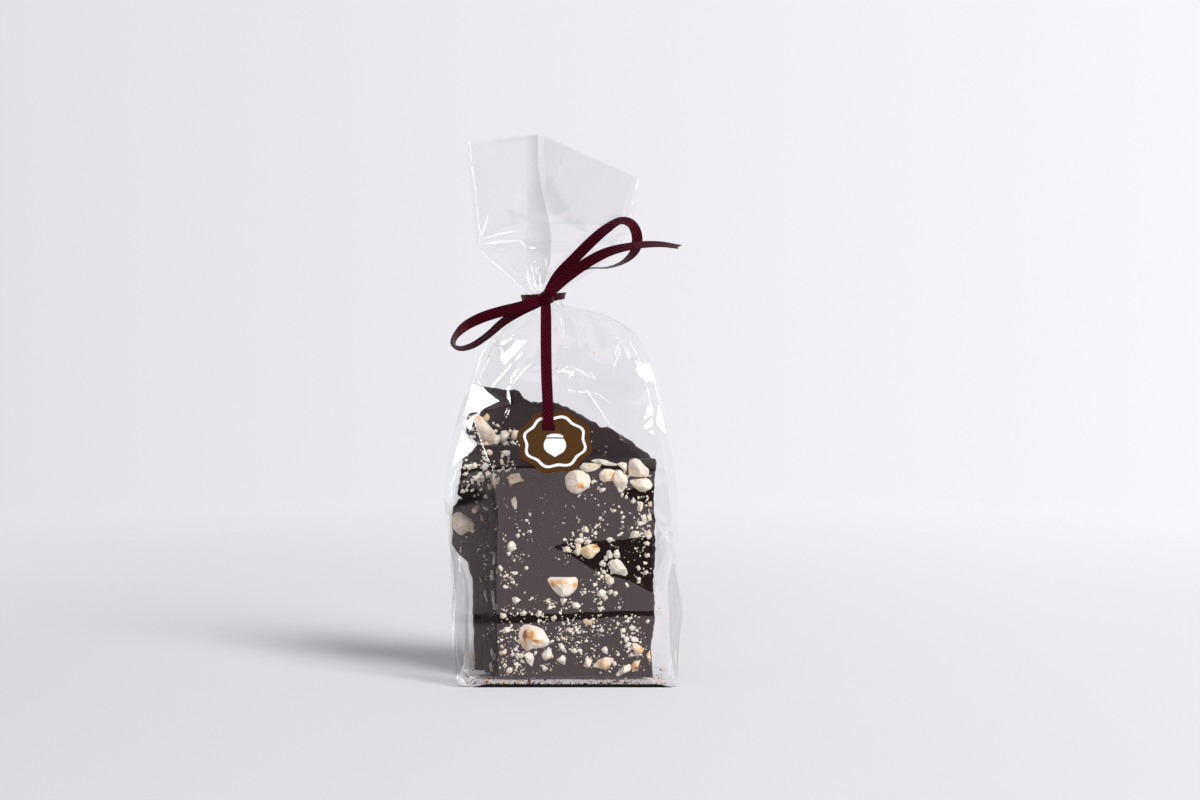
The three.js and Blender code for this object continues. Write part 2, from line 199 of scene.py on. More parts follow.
# ---- Bag film -------------------------------------------------------------------------------------
# A crisp clear gusseted bag of thin film, open at the top. It is folded flat across its base, filled,
# gathered into sharp pleats at the neck and left to flare above the tie, where its panels fold over.
LEVEL_NAMES = ["z", "left", "right", "depth", "crease_x", "crease_y", "fold", "flat", "bow"]
BAG_LEVELS = np.array([
    [0, -56.2, 55.8, 28, 1, 1, 0.9, 5, 0],
    [33, -57, 56.2, 28.6, 1, 0.98, 0.9, 4, 0],
    [53, -58.5, 57, 28.8, 0.98, 0.96, 0.92, 3.6, 0.01],
    [74, -62, 57.3, 28.9, 0.94, 0.93, 0.985, 3.4, 0],
    [92, -63.5, 56.3, 29, 0.93, 0.89, 1, 3.3, 0],
    [101, -62.8, 55.2, 29, 0.92, 0.85, 1, 3.2, 0],
    [110, -61.9, 53.8, 28.9, 0.92, 0.84, 1, 3.2, 0],
    [117, -61, 52.5, 27.6, 0.93, 0.64, 1, 3, 0],
    [143, -54, 47, 22.5, 0.92, 0.42, 1, 2.3, 0.01],
    [156, -49.5, 44, 20, 0.9, 0.46, 1, 2.2, 0.02],
    [169, -44, 39.2, 17.2, 0.87, 0.5, 1, 2.1, 0.03],
    [179, -37.5, 32.5, 14.8, 0.84, 0.54, 1, 2, 0.04],
    [187, -28, 19, 12, 0.82, 0.57, 1, 2, 0.045],
    [192.4, -22.6, -2.6, 8.5, 0.82, 0.57, 1, 2, 0.045],
    [197.8, -22.6, -2.6, 8.5, 0.82, 0.57, 1, 2, 0.045],
    [209, -35.2, 14, 9.5, 0.85, 0.6, 1, 2.2, 0.03],
    [218, -43.9, 24.5, 9.5, 0.93, 0.6, 1, 2.4, 0],
    [224, -45.9, 28, 8.8, 0.96, 0.62, 1, 2.6, 0],
    [240, -47.6, 33, 8.6, 0.98, 0.7, 1, 3, 0],
    [278, -51.4, 37, 9.5, 0.98, 0.8, 1, 4, 0],
])
NECK_Z = 195.1
SHOULDER_Z = 224.0
HEAD_LEVEL_TOP = 278.0
TOP_EDGE = np.array([[-51.4, 274.5], [-12.5, 278.4], [37.0, 256.2]])
# The six panels round the bag: front, two halves of the right gusset, back, two halves of the left one.
PANEL_COUNTS = [140, 24, 24, 60, 24, 24]
FRONT, BACK = 0, 3
NEAR_PANELS = (0, 1, 5)
GUSSETS = (1, 2, 4, 5)
BODY_ROW_STEP = 0.8
HEAD_ROWS = 50


def level_value(name, z):
    """One measure of the bag at heights z: a cubic between levels whose slopes are the harmonic mean of
    the rises on each side, or zero at a turn, so that it never overshoots a level."""
    heights = BAG_LEVELS[:, 0]
    values = BAG_LEVELS[:, LEVEL_NAMES.index(name)]
    rise = np.diff(values) / np.diff(heights)
    before, after = rise[:-1], rise[1:]
    same_way = before * after > 0
    inner = np.where(same_way, 2 * before * after / np.where(same_way, before + after, 1), 0)
    slope = np.concatenate([rise[:1], inner, rise[-1:]])
    i = np.clip(np.searchsorted(heights, z, side="right") - 1, 0, len(heights) - 2)
    h = np.diff(heights)[i]
    t = np.clip((z - heights[i]) / h, 0, 1)
    return (values[i] * (1 + 2 * t) * (1 - t) ** 2 + h * slope[i] * t * (1 - t) ** 2
            + values[i + 1] * t * t * (3 - 2 * t) + h * slope[i + 1] * t * t * (t - 1))


def bag_section(z, panel, share):
    """Unit section at heights z (rows) for each column: across a panel x runs from crease to crease and
    y falls off from 1 by the power `flat`; a gusset runs straight from crease to fold, bowed a little."""
    crease_x, crease_y, fold, flat, bow = (level_value(n, z)[:, None] for n in LEVEL_NAMES[4:])
    s = 2 * share - 1
    panel_x = crease_x * s
    panel_y = crease_y + (1 - crease_y) * (1 - np.abs(s) ** flat)
    along = np.where((panel == 2) | (panel == 5), 1 - share, share)
    gusset_x = crease_x + (fold - crease_x) * along + bow * 4 * along * (1 - along)
    gusset_y = crease_y * (1 - along)
    flat_panels = [panel == FRONT, panel == BACK]
    x = np.select([*flat_panels, panel <= 2], [panel_x, -panel_x, gusset_x], -gusset_x)
    y = np.select([*flat_panels, (panel == 2) | (panel == 4)], [-panel_y, panel_y, gusset_y], -gusset_y)
    return x, y


def neck_pleats(turn, z):
    """Share by which the section is drawn in: sharp V notches spread unevenly round the bag, each with
    its own width and depth, all deepest at the tie and dying out at its own distance from it."""
    dice = np.random.default_rng(7)
    drawn = np.zeros(np.broadcast(turn, z).shape)
    for k in range(30):
        place = (k + dice.uniform(-0.35, 0.35)) / 30
        width = dice.uniform(0.006, 0.022)
        depth = dice.uniform(0.05, 0.22)
        reach = dice.uniform(9, 30) if k % 3 else dice.uniform(25, 46)
        drift = dice.uniform(-0.0009, 0.0009)
        away = np.abs((turn - place - drift * (z - NECK_Z) + 0.5) % 1 - 0.5)
        fade = np.clip(1 - np.abs(z - NECK_Z) / reach, 0, 1) ** 1.3
        drawn += depth * fade * np.clip(1 - away / width, 0, 1)
    return drawn


def bag_surface():
    """The film's form, rows by columns: sections stacked up to the shoulder, then on to the cut edge,
    whose height is straight from the left corner to the peak and straight down to the right corner."""
    panel = np.repeat(np.arange(6), PANEL_COUNTS)
    share = np.concatenate([np.arange(n) / n for n in PANEL_COUNTS])
    body_z = np.arange(0.0, SHOULDER_Z, BODY_ROW_STEP)
    rise = np.linspace(0, 1, HEAD_ROWS)
    z = np.concatenate([body_z, SHOULDER_Z + (HEAD_LEVEL_TOP - SHOULDER_Z) * rise])
    ride_up = np.concatenate([np.zeros(len(body_z)), rise])[:, None]
    start = np.concatenate([body_z, np.full(HEAD_ROWS, SHOULDER_Z)])[:, None]
    sx, sy = bag_section(z, panel, share)
    left, right = level_value("left", z)[:, None], level_value("right", z)[:, None]
    turn = np.interp(panel + share, [0, 1, 3, 4, 6], [0, 0.3, 0.5, 0.8, 1])
    draw = 1 - neck_pleats(turn[None, :], z[:, None])
    x = (left + right) / 2 + (right - left) / 2 * sx * draw
    y = level_value("depth", z)[:, None] * sy * draw
    top = np.interp(x, TOP_EDGE[:, 0], TOP_EDGE[:, 1])
    return np.stack([x, y, start + (top - start) * ride_up], -1), panel


def ramp(value, low, high):
    """0 below low, 1 above high, straight between."""
    return np.clip((value - low) / (high - low), 0, 1)


def crease(x, z, start, end, width, height):
    """A straight fold: height on the line from start to end, falling straight to 0 at width from it,
    and lower towards its two ends."""
    start, end = np.array(start, float), np.array(end, float)
    along = end - start
    length = np.hypot(*along)
    t = ((x - start[0]) * along[0] + (z - start[1]) * along[1]) / length ** 2
    across = ((x - start[0]) * along[1] - (z - start[1]) * along[0]) / length
    taper = np.clip(np.minimum(t, 1 - t) * length / (1.5 * width) + 0.15, 0, 1) * ((t > -0.1) & (t < 1.1))
    return height * np.clip(1 - np.abs(across) / width, 0, 1) * taper


def inside(x, z, corners):
    """Distance inside a convex outline, positive inside, as the least distance to its sides."""
    corners = np.array(corners, float)
    middle = corners.mean(0)
    depth = np.full(np.shape(x), np.inf)
    for a, b in zip(corners, np.roll(corners, -1, 0)):
        normal = np.array([b[1] - a[1], a[0] - b[0]]) / np.hypot(*(b - a))
        if (middle - a) @ normal < 0:
            normal = -normal
        depth = np.minimum(depth, (x - a[0]) * normal[0] + (z - a[1]) * normal[1])
    return depth


# Folds of the front panel: from (x, z) to (x, z), half width and height outwards. First those of the
# dome above the bark, then those low on the right side, and last the right shoulder.
FRONT_CREASES = [
    ((-22.5, 162.3), (-28.5, 151.7), 1.8, 0.8),
    ((-28.5, 151.7), (-29.5, 142.1), 1.8, 0.8),
    ((0.7, 159.8), (13.7, 156.2), 1.6, 0.7),
    ((0.7, 159.8), (-5.9, 170.3), 1.4, 0.5),
    ((0.7, 159.8), (22.3, 130.0), 1.2, 0.45),
    ((22.3, 130.0), (38.0, 114.0), 1.0, 0.3),
    ((-34.0, 171.0), (-26.0, 158.0), 1.2, 0.5),
    ((-38.0, 150.0), (-22.0, 168.0), 1.2, 0.35),
    ((42.3, 85.4), (55.4, 71.8), 1.4, 0.5),
    ((55.3, 85.4), (42.3, 71.8), 1.4, 0.45),
    ((42.3, 66.7), (47.4, 42.0), 1.3, 0.45),
    ((47.4, 42.0), (44.0, 8.0), 1.3, 0.3),
    ((8.0, 190.0), (32.0, 166.0), 1.8, 0.3),
    ((32.0, 166.0), (45.0, 143.0), 1.8, 0.3),
]
# Flat facets that catch a light: corners in (x, z) and the name of the light.
FRONT_FACETS = [
    ([(-48.8, 152.5), (-31.8, 143.2), (-53.4, 134.8)], "left_strip"),
    ([(-53.7, 129.2), (-45.9, 121), (-58.5, 109)], "left_strip"),
    ([(33.7, 159.7), (41.3, 163.2), (45.2, 150.7), (35.4, 155.8)], "right_strip"),
    ([(46.6, 142.2), (50.3, 125.5), (43.9, 131)], "right_strip"),
    ([(42.6, 134.7), (43.6, 130.6), (37.5, 129.6)], "right_strip"),
]


def facing_light(place, light):
    """The unit normal in mm space that turns the view of a light to the camera: half way between them."""
    to_camera = np.array(CAMERA_PLACE) - place
    spot = np.array(bpy.data.objects[light].location) / MM
    to_light = spot - place
    half = to_camera / np.linalg.norm(to_camera) + to_light / np.linalg.norm(to_light)
    return half / np.linalg.norm(half)


def plane_y(x, z, place, normal):
    """The y at each (x, z) of the plane through a place square to its normal."""
    return place[1] - ((x - place[0]) * normal[0] + (z - place[2]) * normal[2]) / normal[1]


def leaning(z, top, low, slope, below):
    """A patch that leans back: it stands out from 0 at the top line to slope times its height at the
    low line, and goes back to 0 by `below` mm under that."""
    return slope * (top - low) * np.where(z > low, ramp(z, top, low), ramp(z, low - below, low))


def front_relief(x, z):
    """How far the front panel stands out from its smooth form, in mm: the folds, a patch to the right
    that leans back under a straight upper edge, and a low band that leans back."""
    relief = sum(crease(x, z, *row) for row in FRONT_CREASES)
    patch_top = np.interp(x, [-6.5, -3.8, 1.2, 16.2, 28.8, 41.3], [71.4, 71.7, 73.7, 74.2, 74.7, 75.9])
    patch_low = np.interp(x, [-6.5, -3.8, 3.7, 11.2, 18.3, 31.3, 41.3],
                          [70.2, 69.6, 65.4, 59.8, 57, 53.3, 47.7])
    slope = (0.11 + 0.09 * (1 - ramp(x, -4, 12))) * ramp(x, -7.5, -5.5) * (1 - ramp(x, 44, 54))
    relief = relief + leaning(z, patch_top, patch_low, slope, 22)
    band_low = np.interp(x, [-47.5, -23.9, -3.8, 11.2, 26.3, 41.3], [31.3, 31.8, 32.8, 34.6, 35.4, 35.4])
    band_top = np.interp(x, [-47.5, -3.8, 16.2, 41.3], [37.4, 37.6, 38.6, 39.7])
    slope = (0.12 + 0.13 * ramp(x, 2, 20)) * ramp(x, -60, -56) * (1 - ramp(x, 45, 52))
    return relief + leaning(z, band_top, band_low, slope, 16)


def crumple(x, z, seed, count, low, high, height):
    """Sum of `count` triangle waves in random directions, wavelengths low to high: the crest is `height`
    mm for the longest, and less in proportion for the others."""
    dice = np.random.default_rng(seed)
    total = 0
    for _ in range(count):
        turn, length, phase = dice.uniform(0, np.pi), dice.uniform(low, high), dice.uniform(0, 1)
        wave = (x * np.cos(turn) + z * np.sin(turn)) / length + phase
        total = total + height * length / high * (4 * np.abs(wave % 1 - 0.5) - 1)
    return total


film_points, film_panel = bag_surface()
rows, columns = film_points.shape[:2]
x, y, z = film_points[..., 0], film_points[..., 1], film_points[..., 2]
down_rows = np.gradient(film_points, axis=0)
along_columns = np.roll(film_points, -1, 1) - np.roll(film_points, 1, 1)
outward = np.cross(along_columns, down_rows)
outward /= np.linalg.norm(outward, axis=-1, keepdims=True) + 1e-9
in_front = film_panel[None, :] == FRONT
faces_camera = np.isin(film_panel, NEAR_PANELS)[None, :]
relief = np.where(in_front, front_relief(x, z), 0)
dome = ramp(z, 95, 125) * (1 - ramp(z, 180, 195))
lower = 1 - ramp(z, 80, 110)
head = ramp(z, 226, 240)
relief = relief + np.where(in_front, 0.35 * dome, 0.5 * dome) * crumple(x + y, z, 3, 5, 30, 70, 1.0)
relief = relief + np.where(film_panel[None, :] == BACK, 0.35 * lower, 0) * crumple(x, z, 5, 4, 30, 80, 1.0)
in_gusset = np.isin(film_panel, GUSSETS)[None, :]
relief = relief + np.where(in_gusset, 0.7 * lower, 0) * crumple(y, z, 9, 4, 18, 50, 1.0)
relief = relief + 0.25 * head * crumple(x + y, z, 11, 4, 30, 60, 1.0)
shoulder_line = np.interp(x, [-44.5, -33.3, -21.2, 0.1, 8.7, 28], [222.6, 227.2, 229.7, 227.7, 224.6, 221])
relief = relief + 1.1 * np.clip(1 - np.abs(z - shoulder_line) / 3.5, 0, 1)
film_points = film_points + relief[..., None] * outward * np.where(z < 2, 0, 1)[..., None]
x, y, z = film_points[..., 0], film_points[..., 1].copy(), film_points[..., 2]
for corners, light in FRONT_FACETS:
    middle = np.array(corners).mean(0)
    depth = np.where(faces_camera, inside(x, z, corners), -np.inf)
    away = np.where(faces_camera, np.hypot(x - middle[0], z - middle[1]), np.inf)
    place = film_points[np.unravel_index(np.argmin(away), away.shape)]
    plane = plane_y(x, z, place, facing_light(place, light))
    y = y + np.where(np.isfinite(depth), (plane - y) * ramp(depth, -1.2, 0.0), 0)
film_points[..., 1] = y

grid = np.arange(rows * columns).reshape(rows, columns)
next_grid = np.roll(grid, -1, 1)
quads = np.stack([grid[:-1], next_grid[:-1], next_grid[1:], grid[1:]], -1).reshape(-1, 4)


def mesh_object(name, points, faces, material, slot, attributes=None, uv=None, smooth=True):
    """A mesh from points in mm and faces that all have the same number of corners, with its material and
    float attributes, riding on the root. The slot is not used."""
    faces = np.asarray(faces)
    mesh = bpy.data.meshes.new(name)
    mesh.vertices.add(len(points))
    mesh.vertices.foreach_set("co", (np.asarray(points, float) * MM).ravel())
    mesh.loops.add(faces.size)
    mesh.loops.foreach_set("vertex_index", faces.ravel())
    mesh.polygons.add(len(faces))
    mesh.polygons.foreach_set("loop_start", np.arange(len(faces)) * faces.shape[1])
    mesh.update(calc_edges=True)
    mesh.polygons.foreach_set("use_smooth", np.full(len(faces), smooth))
    for key, values in (attributes or {}).items():
        attribute = mesh.attributes.new(key, "FLOAT", "POINT")
        attribute.data.foreach_set("value", np.asarray(values, float).ravel())
    if uv is not None:
        mesh.uv_layers.new(name="UVMap").data.foreach_set("uv", np.asarray(uv, float)[faces.ravel()].ravel())
    mesh.validate()
    mesh.materials.append(material)
    piece = bpy.data.objects.new(name, mesh)
    bpy.context.scene.collection.objects.link(piece)
    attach(piece, "root")
    return piece


def joined(parts):
    """One mesh of several, each given as points and faces: the faces are numbered on from part to part."""
    starts = np.cumsum([0] + [len(points) for points, _ in parts[:-1]])
    return (np.concatenate([points for points, _ in parts]),
            np.concatenate([faces + start for (_, faces), start in zip(parts, starts)]))


# A thin film mirrors 6 % of the light that meets it square on and more at a slant, alike on both faces.
film_material, add = node_material("clear_film")
gloss = add("ShaderNodeBsdfAnisotropic", {"Color": (1, 1, 1, 1), "Roughness": 0.03})
through = add("ShaderNodeBsdfTransparent", {"Color": (0.977, 0.980, 0.979, 1)})
slant = add("ShaderNodeLayerWeight", {"Blend": 0.5})
steep = add("ShaderNodeMath", {0: slant.outputs["Facing"], 1: 3.8}, operation="POWER")
mirrored = add("ShaderNodeMath", {0: steep.outputs[0], 1: 0.6, 2: 0.055}, operation="MULTIPLY_ADD")
mixed = add("ShaderNodeMixShader", {0: mirrored.outputs[0], 1: through.outputs[0], 2: gloss.outputs[0]})
add("ShaderNodeOutputMaterial", {"Surface": mixed.outputs[0]})

film = mesh_object("bag_film", film_points.reshape(-1, 3), quads, film_material, "film")
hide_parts("bag")

# The folded base of the bag: a flat panel just above the table, closing the tube.
BASE_LIFT = 0.15
base_ring = film_points[0] + np.array([0, 0, BASE_LIFT])
base_points = np.concatenate([base_ring, base_ring * np.array([0.55, 0.55, 1]), [[0, 0, BASE_LIFT]]])
near = np.arange(columns)
after = (near + 1) % columns
base_faces = np.concatenate([
    np.stack([near, columns + near, after], -1), np.stack([after, columns + near, columns + after], -1),
    np.stack([columns + near, np.full(columns, 2 * columns), columns + after], -1)])
mesh_object("bag_base", base_points, base_faces[:, ::-1], film_material, "film")

# ---- Folded layers of the film -------------------------------------------------------------------
# The same film where it lies in several layers: the head is folded over itself, the gussets are
# creased, and the bottom of the bag is folded under. Pressed layers are darker or paler than one sheet.
stack_material, add = node_material("film_layers")
layers_and_shade = add("ShaderNodeAttribute", attribute_name="layers_and_shade").outputs["Fac"]
tint = add("ShaderNodeMix", {0: layers_and_shade, 6: (0.990, 0.992, 0.992, 1), 7: (0.70, 0.715, 0.705, 1)},
           data_type="RGBA")
gloss = add("ShaderNodeBsdfAnisotropic", {"Color": (1, 1, 1, 1), "Roughness": 0.12})
through = add("ShaderNodeBsdfTransparent", {"Color": tint.outputs[2]})
mixed = add("ShaderNodeMixShader", {0: 0.012, 1: through.outputs[0], 2: gloss.outputs[0]})
add("ShaderNodeOutputMaterial", {"Surface": mixed.outputs[0]})

# The bottom fold lies flat in many layers: a pale haze with a faint gloss.
pale_material, add = node_material("film_fold_pale")
haze = add("ShaderNodeBsdfDiffuse", {"Color": (0.80, 0.80, 0.83, 1)})
through = add("ShaderNodeBsdfTransparent", {"Color": (0.98, 0.98, 0.98, 1)})
gloss = add("ShaderNodeBsdfAnisotropic", {"Color": (1, 1, 1, 1), "Roughness": 0.1})
hazy = add("ShaderNodeMixShader", {0: 0.42, 1: through.outputs[0], 2: haze.outputs[0]})
mixed = add("ShaderNodeMixShader", {0: 0.08, 1: hazy.outputs[0], 2: gloss.outputs[0]})
add("ShaderNodeOutputMaterial", {"Surface": mixed.outputs[0]})

# Patches on the head and in the gussets: name, how firmly the layers are pressed at the left and at the right
# side, and the left edge and right edge from the top down, in (x, z). In the left gusset the pressing also
# stands for painted shade.
LAYER_PATCHES = [
    ("head_fold", (0.06, 0.40),
     [(-21.1, 276.8), (-20.5, 264.8), (-20.6, 249.9), (-20.8, 234.8), (-22.2, 224.7), (-20.7, 213.5),
      (-17.7, 202.4)],
     [(-15.1, 277.7), (-15.2, 264.8), (-13.1, 249.9), (-9.6, 234.8), (-8.3, 224.7), (-8.8, 213.5),
      (-12.1, 202.4)]),
    ("head_edge_left", (0.04, 0.04),
     [(-51, 273.7), (-49.4, 250), (-47.1, 224.2)],
     [(-48.8, 273.9), (-47.4, 250), (-45.1, 225.2)]),
    ("head_edge_right", (0.05, 0.05),
     [(31.4, 256.3), (30.4, 248.4), (29.2, 239.8)],
     [(35.2, 255.5), (32.5, 246.9), (29.9, 238.3)]),
    ("head_back", (0.09, 0.09),
     [(-12, 276.6), (-11.5, 250), (-8, 233)],
     [(33.6, 256.4), (30.4, 245), (26.5, 232)]),
    ("head_flap", (0.07, 0.02),
     [(-11.8, 275.4), (-14.8, 264.8), (-13.6, 254.9), (-11.9, 242.3)],
     [(-0.6, 270.8), (-4.5, 260), (-8.5, 249.9), (-11.3, 241.8)]),
    # Partly real folded layers, partly painted shade: this patch is tinted dark to stand for the shade on the
    # left gusset.
    ("gusset_fold", (0.25, 0.95),
     [(-55.9, 101.4), (-58.9, 84.3), (-59, 64.2), (-57.1, 39), (-55.6, 18.7), (-53.2, 5.6)],
     [(-37.8, 107.5), (-34.9, 89.4), (-35.4, 69.2), (-35.7, 44), (-35.3, 21.3), (-35, 5.6)]),
    ("gusset_crease", (0.24, 0.03),
     [(44.4, 82.9), (44.4, 71.2), (44.7, 58.5)],
     [(49.7, 73.8), (50.2, 72), (50.2, 69.7)]),
]
PATCH_GAP = 0.45
BACK_PATCH_GAP = -0.9
PATCH_THICKNESS = 0.06


def film_y(x_at, z_at, panels=NEAR_PANELS):
    """The y of the film nearest to each (x, z), over the panels named."""
    film_x, y_there, film_z = film_points[:, np.isin(film_panel, panels)].reshape(-1, 3).T
    away = (film_x - np.ravel(x_at)[:, None]) ** 2 + (film_z - np.ravel(z_at)[:, None]) ** 2
    return y_there[np.argmin(away, axis=1)].reshape(np.shape(x_at))


def closed_sheet(front_grid, thickness):
    """Points and quads of a thin closed sheet: a grid of points, and its copy pushed back by thickness."""
    n_rows, n_columns = front_grid.shape[:2]
    back_grid = front_grid + np.array([0, thickness, 0])
    points = np.concatenate([front_grid.reshape(-1, 3), back_grid.reshape(-1, 3)])
    near = np.arange(n_rows * n_columns).reshape(n_rows, n_columns)
    far = near + n_rows * n_columns
    front = np.stack([near[:-1, :-1], near[1:, :-1], near[1:, 1:], near[:-1, 1:]], -1).reshape(-1, 4)
    back = np.stack([far[:-1, :-1], far[:-1, 1:], far[1:, 1:], far[1:, :-1]], -1).reshape(-1, 4)
    rim = np.concatenate([near[:-1, 0], near[-1, :-1], near[:0:-1, -1], near[0, :0:-1]])
    rim_after = np.roll(rim, -1)
    shift = n_rows * n_columns
    sides = np.stack([rim, rim + shift, rim_after + shift, rim_after], -1)
    return points, np.concatenate([front, back, sides])


def edge_run(corners, steps):
    """Points in (x, z) at shares `steps` of the way along a run of corners, each span the same share."""
    row = np.linspace(0, 1, len(corners))
    return np.stack([np.interp(steps, row, places) for places in zip(*corners)], -1)


for name, (press_left, press_right), left_edge, right_edge in LAYER_PATCHES:
    left_run, right_run = (edge_run(edge, np.linspace(0, 1, 36)) for edge in (left_edge, right_edge))
    share = np.linspace(0, 1, 9)[None, :, None]
    flat = left_run[:, None] * (1 - share) + right_run[:, None] * share
    on_panels = (FRONT,) if name.startswith("gusset") else NEAR_PANELS
    gap = BACK_PATCH_GAP if name == "head_back" else PATCH_GAP
    depth = film_y(flat[..., 0], flat[..., 1], on_panels) - gap
    points, faces = closed_sheet(np.stack([flat[..., 0], depth, flat[..., 1]], -1), PATCH_THICKNESS)
    press = np.broadcast_to(press_left + (press_right - press_left) * share[..., 0], flat.shape[:2])
    mesh_object(name, points, faces, stack_material, "film", {"layers_and_shade": np.tile(press.ravel(), 2)})

# Pinched creases that catch a strip light: the light, width in mm, how strongly they mirror it, and
# the path in (x, z). One more is a broad triangle, given by its three corners.
PINCHES = [
    ("left_strip", 0.7, 0.02, [(-48.8, 136.6), (-42.7, 121.5), (-36.3, 106.9)]),
    ("left_strip", 1.5, 0.04, [(-30.6, 150.6), (-29.6, 145.6), (-28.6, 141.5)]),
    ("left_strip", 0.6, 0.03, [(-32.4, 136), (-31.1, 138.5), (-29.6, 140.5)]),
    ("left_strip", 0.6, 0.03, [(-31.1, 135.5), (-29.6, 138), (-29.1, 140.5)]),
    ("left_strip", 0.9, 0.02, [(-28.5, 151.2), (-23.6, 157.6), (-17.8, 163.3)]),
    ("left_strip", 1.0, 0.02, [(-26.8, 163.3), (-24.6, 166.2), (-22.3, 168.3)]),
    ("left_strip", 0.8, 0.012, [(-46.1, 221.6), (-41, 215.9), (-33.2, 209.2), (-20.8, 198.1)]),
    ("left_strip", 1.4, 0.012, [(-40.5, 237.3), (-42.4, 230.7), (-44, 225.7)]),
    ("left_strip", 0.8, 0.012, [(-46.1, 222.1), (-35.4, 223.6), (-24.2, 224.4)]),
    ("left_strip", 0.8, 0.01, [(-44, 224.9), (-32.1, 228.3), (-23.1, 229.7)]),
    ("left_strip", 0.9, 0.02, [(-24.2, 224.1), (-21.4, 221.6)]),
    ("left_strip", 0.9, 0.02, [(-20.7, 221.1), (-15.8, 220.5)]),
    ("left_strip", 0.6, 0.012, [(-19.2, 213.5), (-17.2, 205.9), (-15.7, 199.4)]),
    ("left_strip", 0.6, 0.012, [(-21.2, 211.5), (-19.7, 205.4), (-18.7, 199.4)]),
    ("right_strip", 0.6, 0.01, [(-13.6, 219.6), (-11.1, 213.5), (-9.6, 207.5)]),
    ("right_strip", 0.8, 0.02, [(0.6, 155.5), (3.1, 159.5)]),
    ("right_strip", 0.9, 0.025, [(-4, 159), (0.1, 158.5), (4.1, 156)]),
    ("right_strip", 0.7, 0.02, [(11.2, 158.5), (14.2, 154)]),
    ("right_strip", 0.7, 0.015, [(23.3, 165.5), (25.9, 172.6)]),
    ("right_strip", 0.8, 0.03, [(44.4, 150.7), (46.3, 144), (46.7, 141.5)]),
    ("left_strip", 0.6, 0.02, [(-55, 109.3), (-59.5, 100.3)]),
    ("left_strip", 1.8, 0.006, [(-4.9, 191.9), (-3.4, 181.8), (-1.4, 170.3)]),
    ("left_strip", 1.2, 0.008, [(-7.9, 194.4), (-7.4, 186.8)]),
    ("left_strip", 1.3, 0.006, [(-32.7, 185.3), (-39.3, 176.7), (-44.4, 165.1), (-48.4, 151.4)]),
    ("right_strip", 1.2, 0.006, [(24.8, 175.9), (26.3, 168.4), (22.3, 158.3)]),
    ("right_strip", 0.9, 0.012, [(0.7, 161.4), (6.2, 158.8), (12.2, 155.3)]),
    ("right_strip", 0.8, 0.01, [(0.7, 161.4), (-3.8, 158.8), (-6.3, 157.8)]),
    ("right_strip", 0.9, 0.006, [(1.2, 158.5), (11.2, 146.9), (21.3, 131.9), (32.3, 119.3)]),
    ("left_strip", 1.1, 0.005, [(-15.5, 142.1), (-6.4, 150.2), (15.2, 147.2), (27.3, 138.1)]),
    ("left_strip", 0.9, 0.01, [(-58.2, 63.7), (-56.8, 43.5), (-57.9, 18.1)]),
    ("left_strip", 0.9, 0.01, [(-53.2, 73.8), (-55.2, 53.6)]),
    ("left_strip", 0.55, 0.012, [(-17.1, 197.8), (-19.8, 203.4), (-21.9, 208.5)]),
    ("left_strip", 0.55, 0.013, [(-15, 197.8), (-17.2, 205.9), (-19.1, 214)]),
    ("right_strip", 0.55, 0.013, [(-13.9, 197.8), (-15.7, 207.5), (-17, 216.8)]),
    ("left_strip", 0.55, 0.011, [(-12.9, 198.3), (-14.2, 206.9), (-15.2, 215.4)]),
    ("right_strip", 0.55, 0.012, [(-11.9, 199.6), (-12.4, 205.4), (-12.9, 211.3)]),
]
PINCH_STEP = 6.0
PINCH_GAP = 0.4
PINCH_THICKNESS = 0.04
BROAD_PINCH = ("left_strip", 0.05, [(-32.1, 161.7), (-38.4, 173.3), (-20.5, 174)])
crease_material, add = node_material("film_crease")
shine = add("ShaderNodeAttribute", attribute_name="shine").outputs["Fac"]
gloss = add("ShaderNodeBsdfAnisotropic", {"Color": (1, 1, 1, 1), "Roughness": 0.04})
through = add("ShaderNodeBsdfTransparent", {"Color": (0.995, 0.996, 0.996, 1)})
mixed = add("ShaderNodeMixShader", {0: shine, 1: through.outputs[0], 2: gloss.outputs[0]})
add("ShaderNodeOutputMaterial", {"Surface": mixed.outputs[0]})


def lay_facing(x_at, z_at, light):
    """Points just before the film, on one plane through their middle that turns the light to the camera."""
    on_film = np.stack([x_at, film_y(x_at, z_at) - PINCH_GAP, z_at], -1)
    middle = on_film.reshape(-1, 3).mean(0)
    normal = facing_light(middle, light)
    return np.stack([x_at, plane_y(x_at, z_at, middle, normal), z_at], -1), normal


slivers, shines = [], []
for light, width, strength, path in PINCHES:
    path = np.array(path)
    span = np.concatenate([[0], np.cumsum(np.hypot(*np.diff(path, axis=0).T))])
    cuts = np.linspace(0, span[-1], int(np.ceil(span[-1] / PINCH_STEP)) + 1)
    for start, end in zip(cuts[:-1], cuts[1:]):
        walk = np.linspace(start, end, 9)
        run = np.stack([np.interp(walk, span, path[:, k]) for k in (0, 1)], -1)
        place, normal = lay_facing(run[:, 0], run[:, 1], light)
        across = np.cross(np.gradient(place, axis=0), normal)
        across /= np.linalg.norm(across, axis=1, keepdims=True)
        taper = np.clip(np.minimum(walk, span[-1] - walk) / (0.4 * span[-1]), 0.12, 1)[:, None]
        half = across * taper * width / 2
        slivers.append(closed_sheet(np.stack([place - half, place + half], 1), PINCH_THICKNESS))
        shines.append(strength)
light, strength, (corner_a, corner_b, corner_c) = BROAD_PINCH
row = np.linspace(0, 1, 9)[:, None]
upper = np.array(corner_a) * (1 - row) + np.array(corner_b) * row
lower = np.array(corner_a) * (1 - row) + np.array(corner_c) * row
flat = np.stack([upper, lower + (upper - lower) * 0.001], 1)
place, _ = lay_facing(flat[..., 0], flat[..., 1], light)
slivers.append(closed_sheet(place, PINCH_THICKNESS))
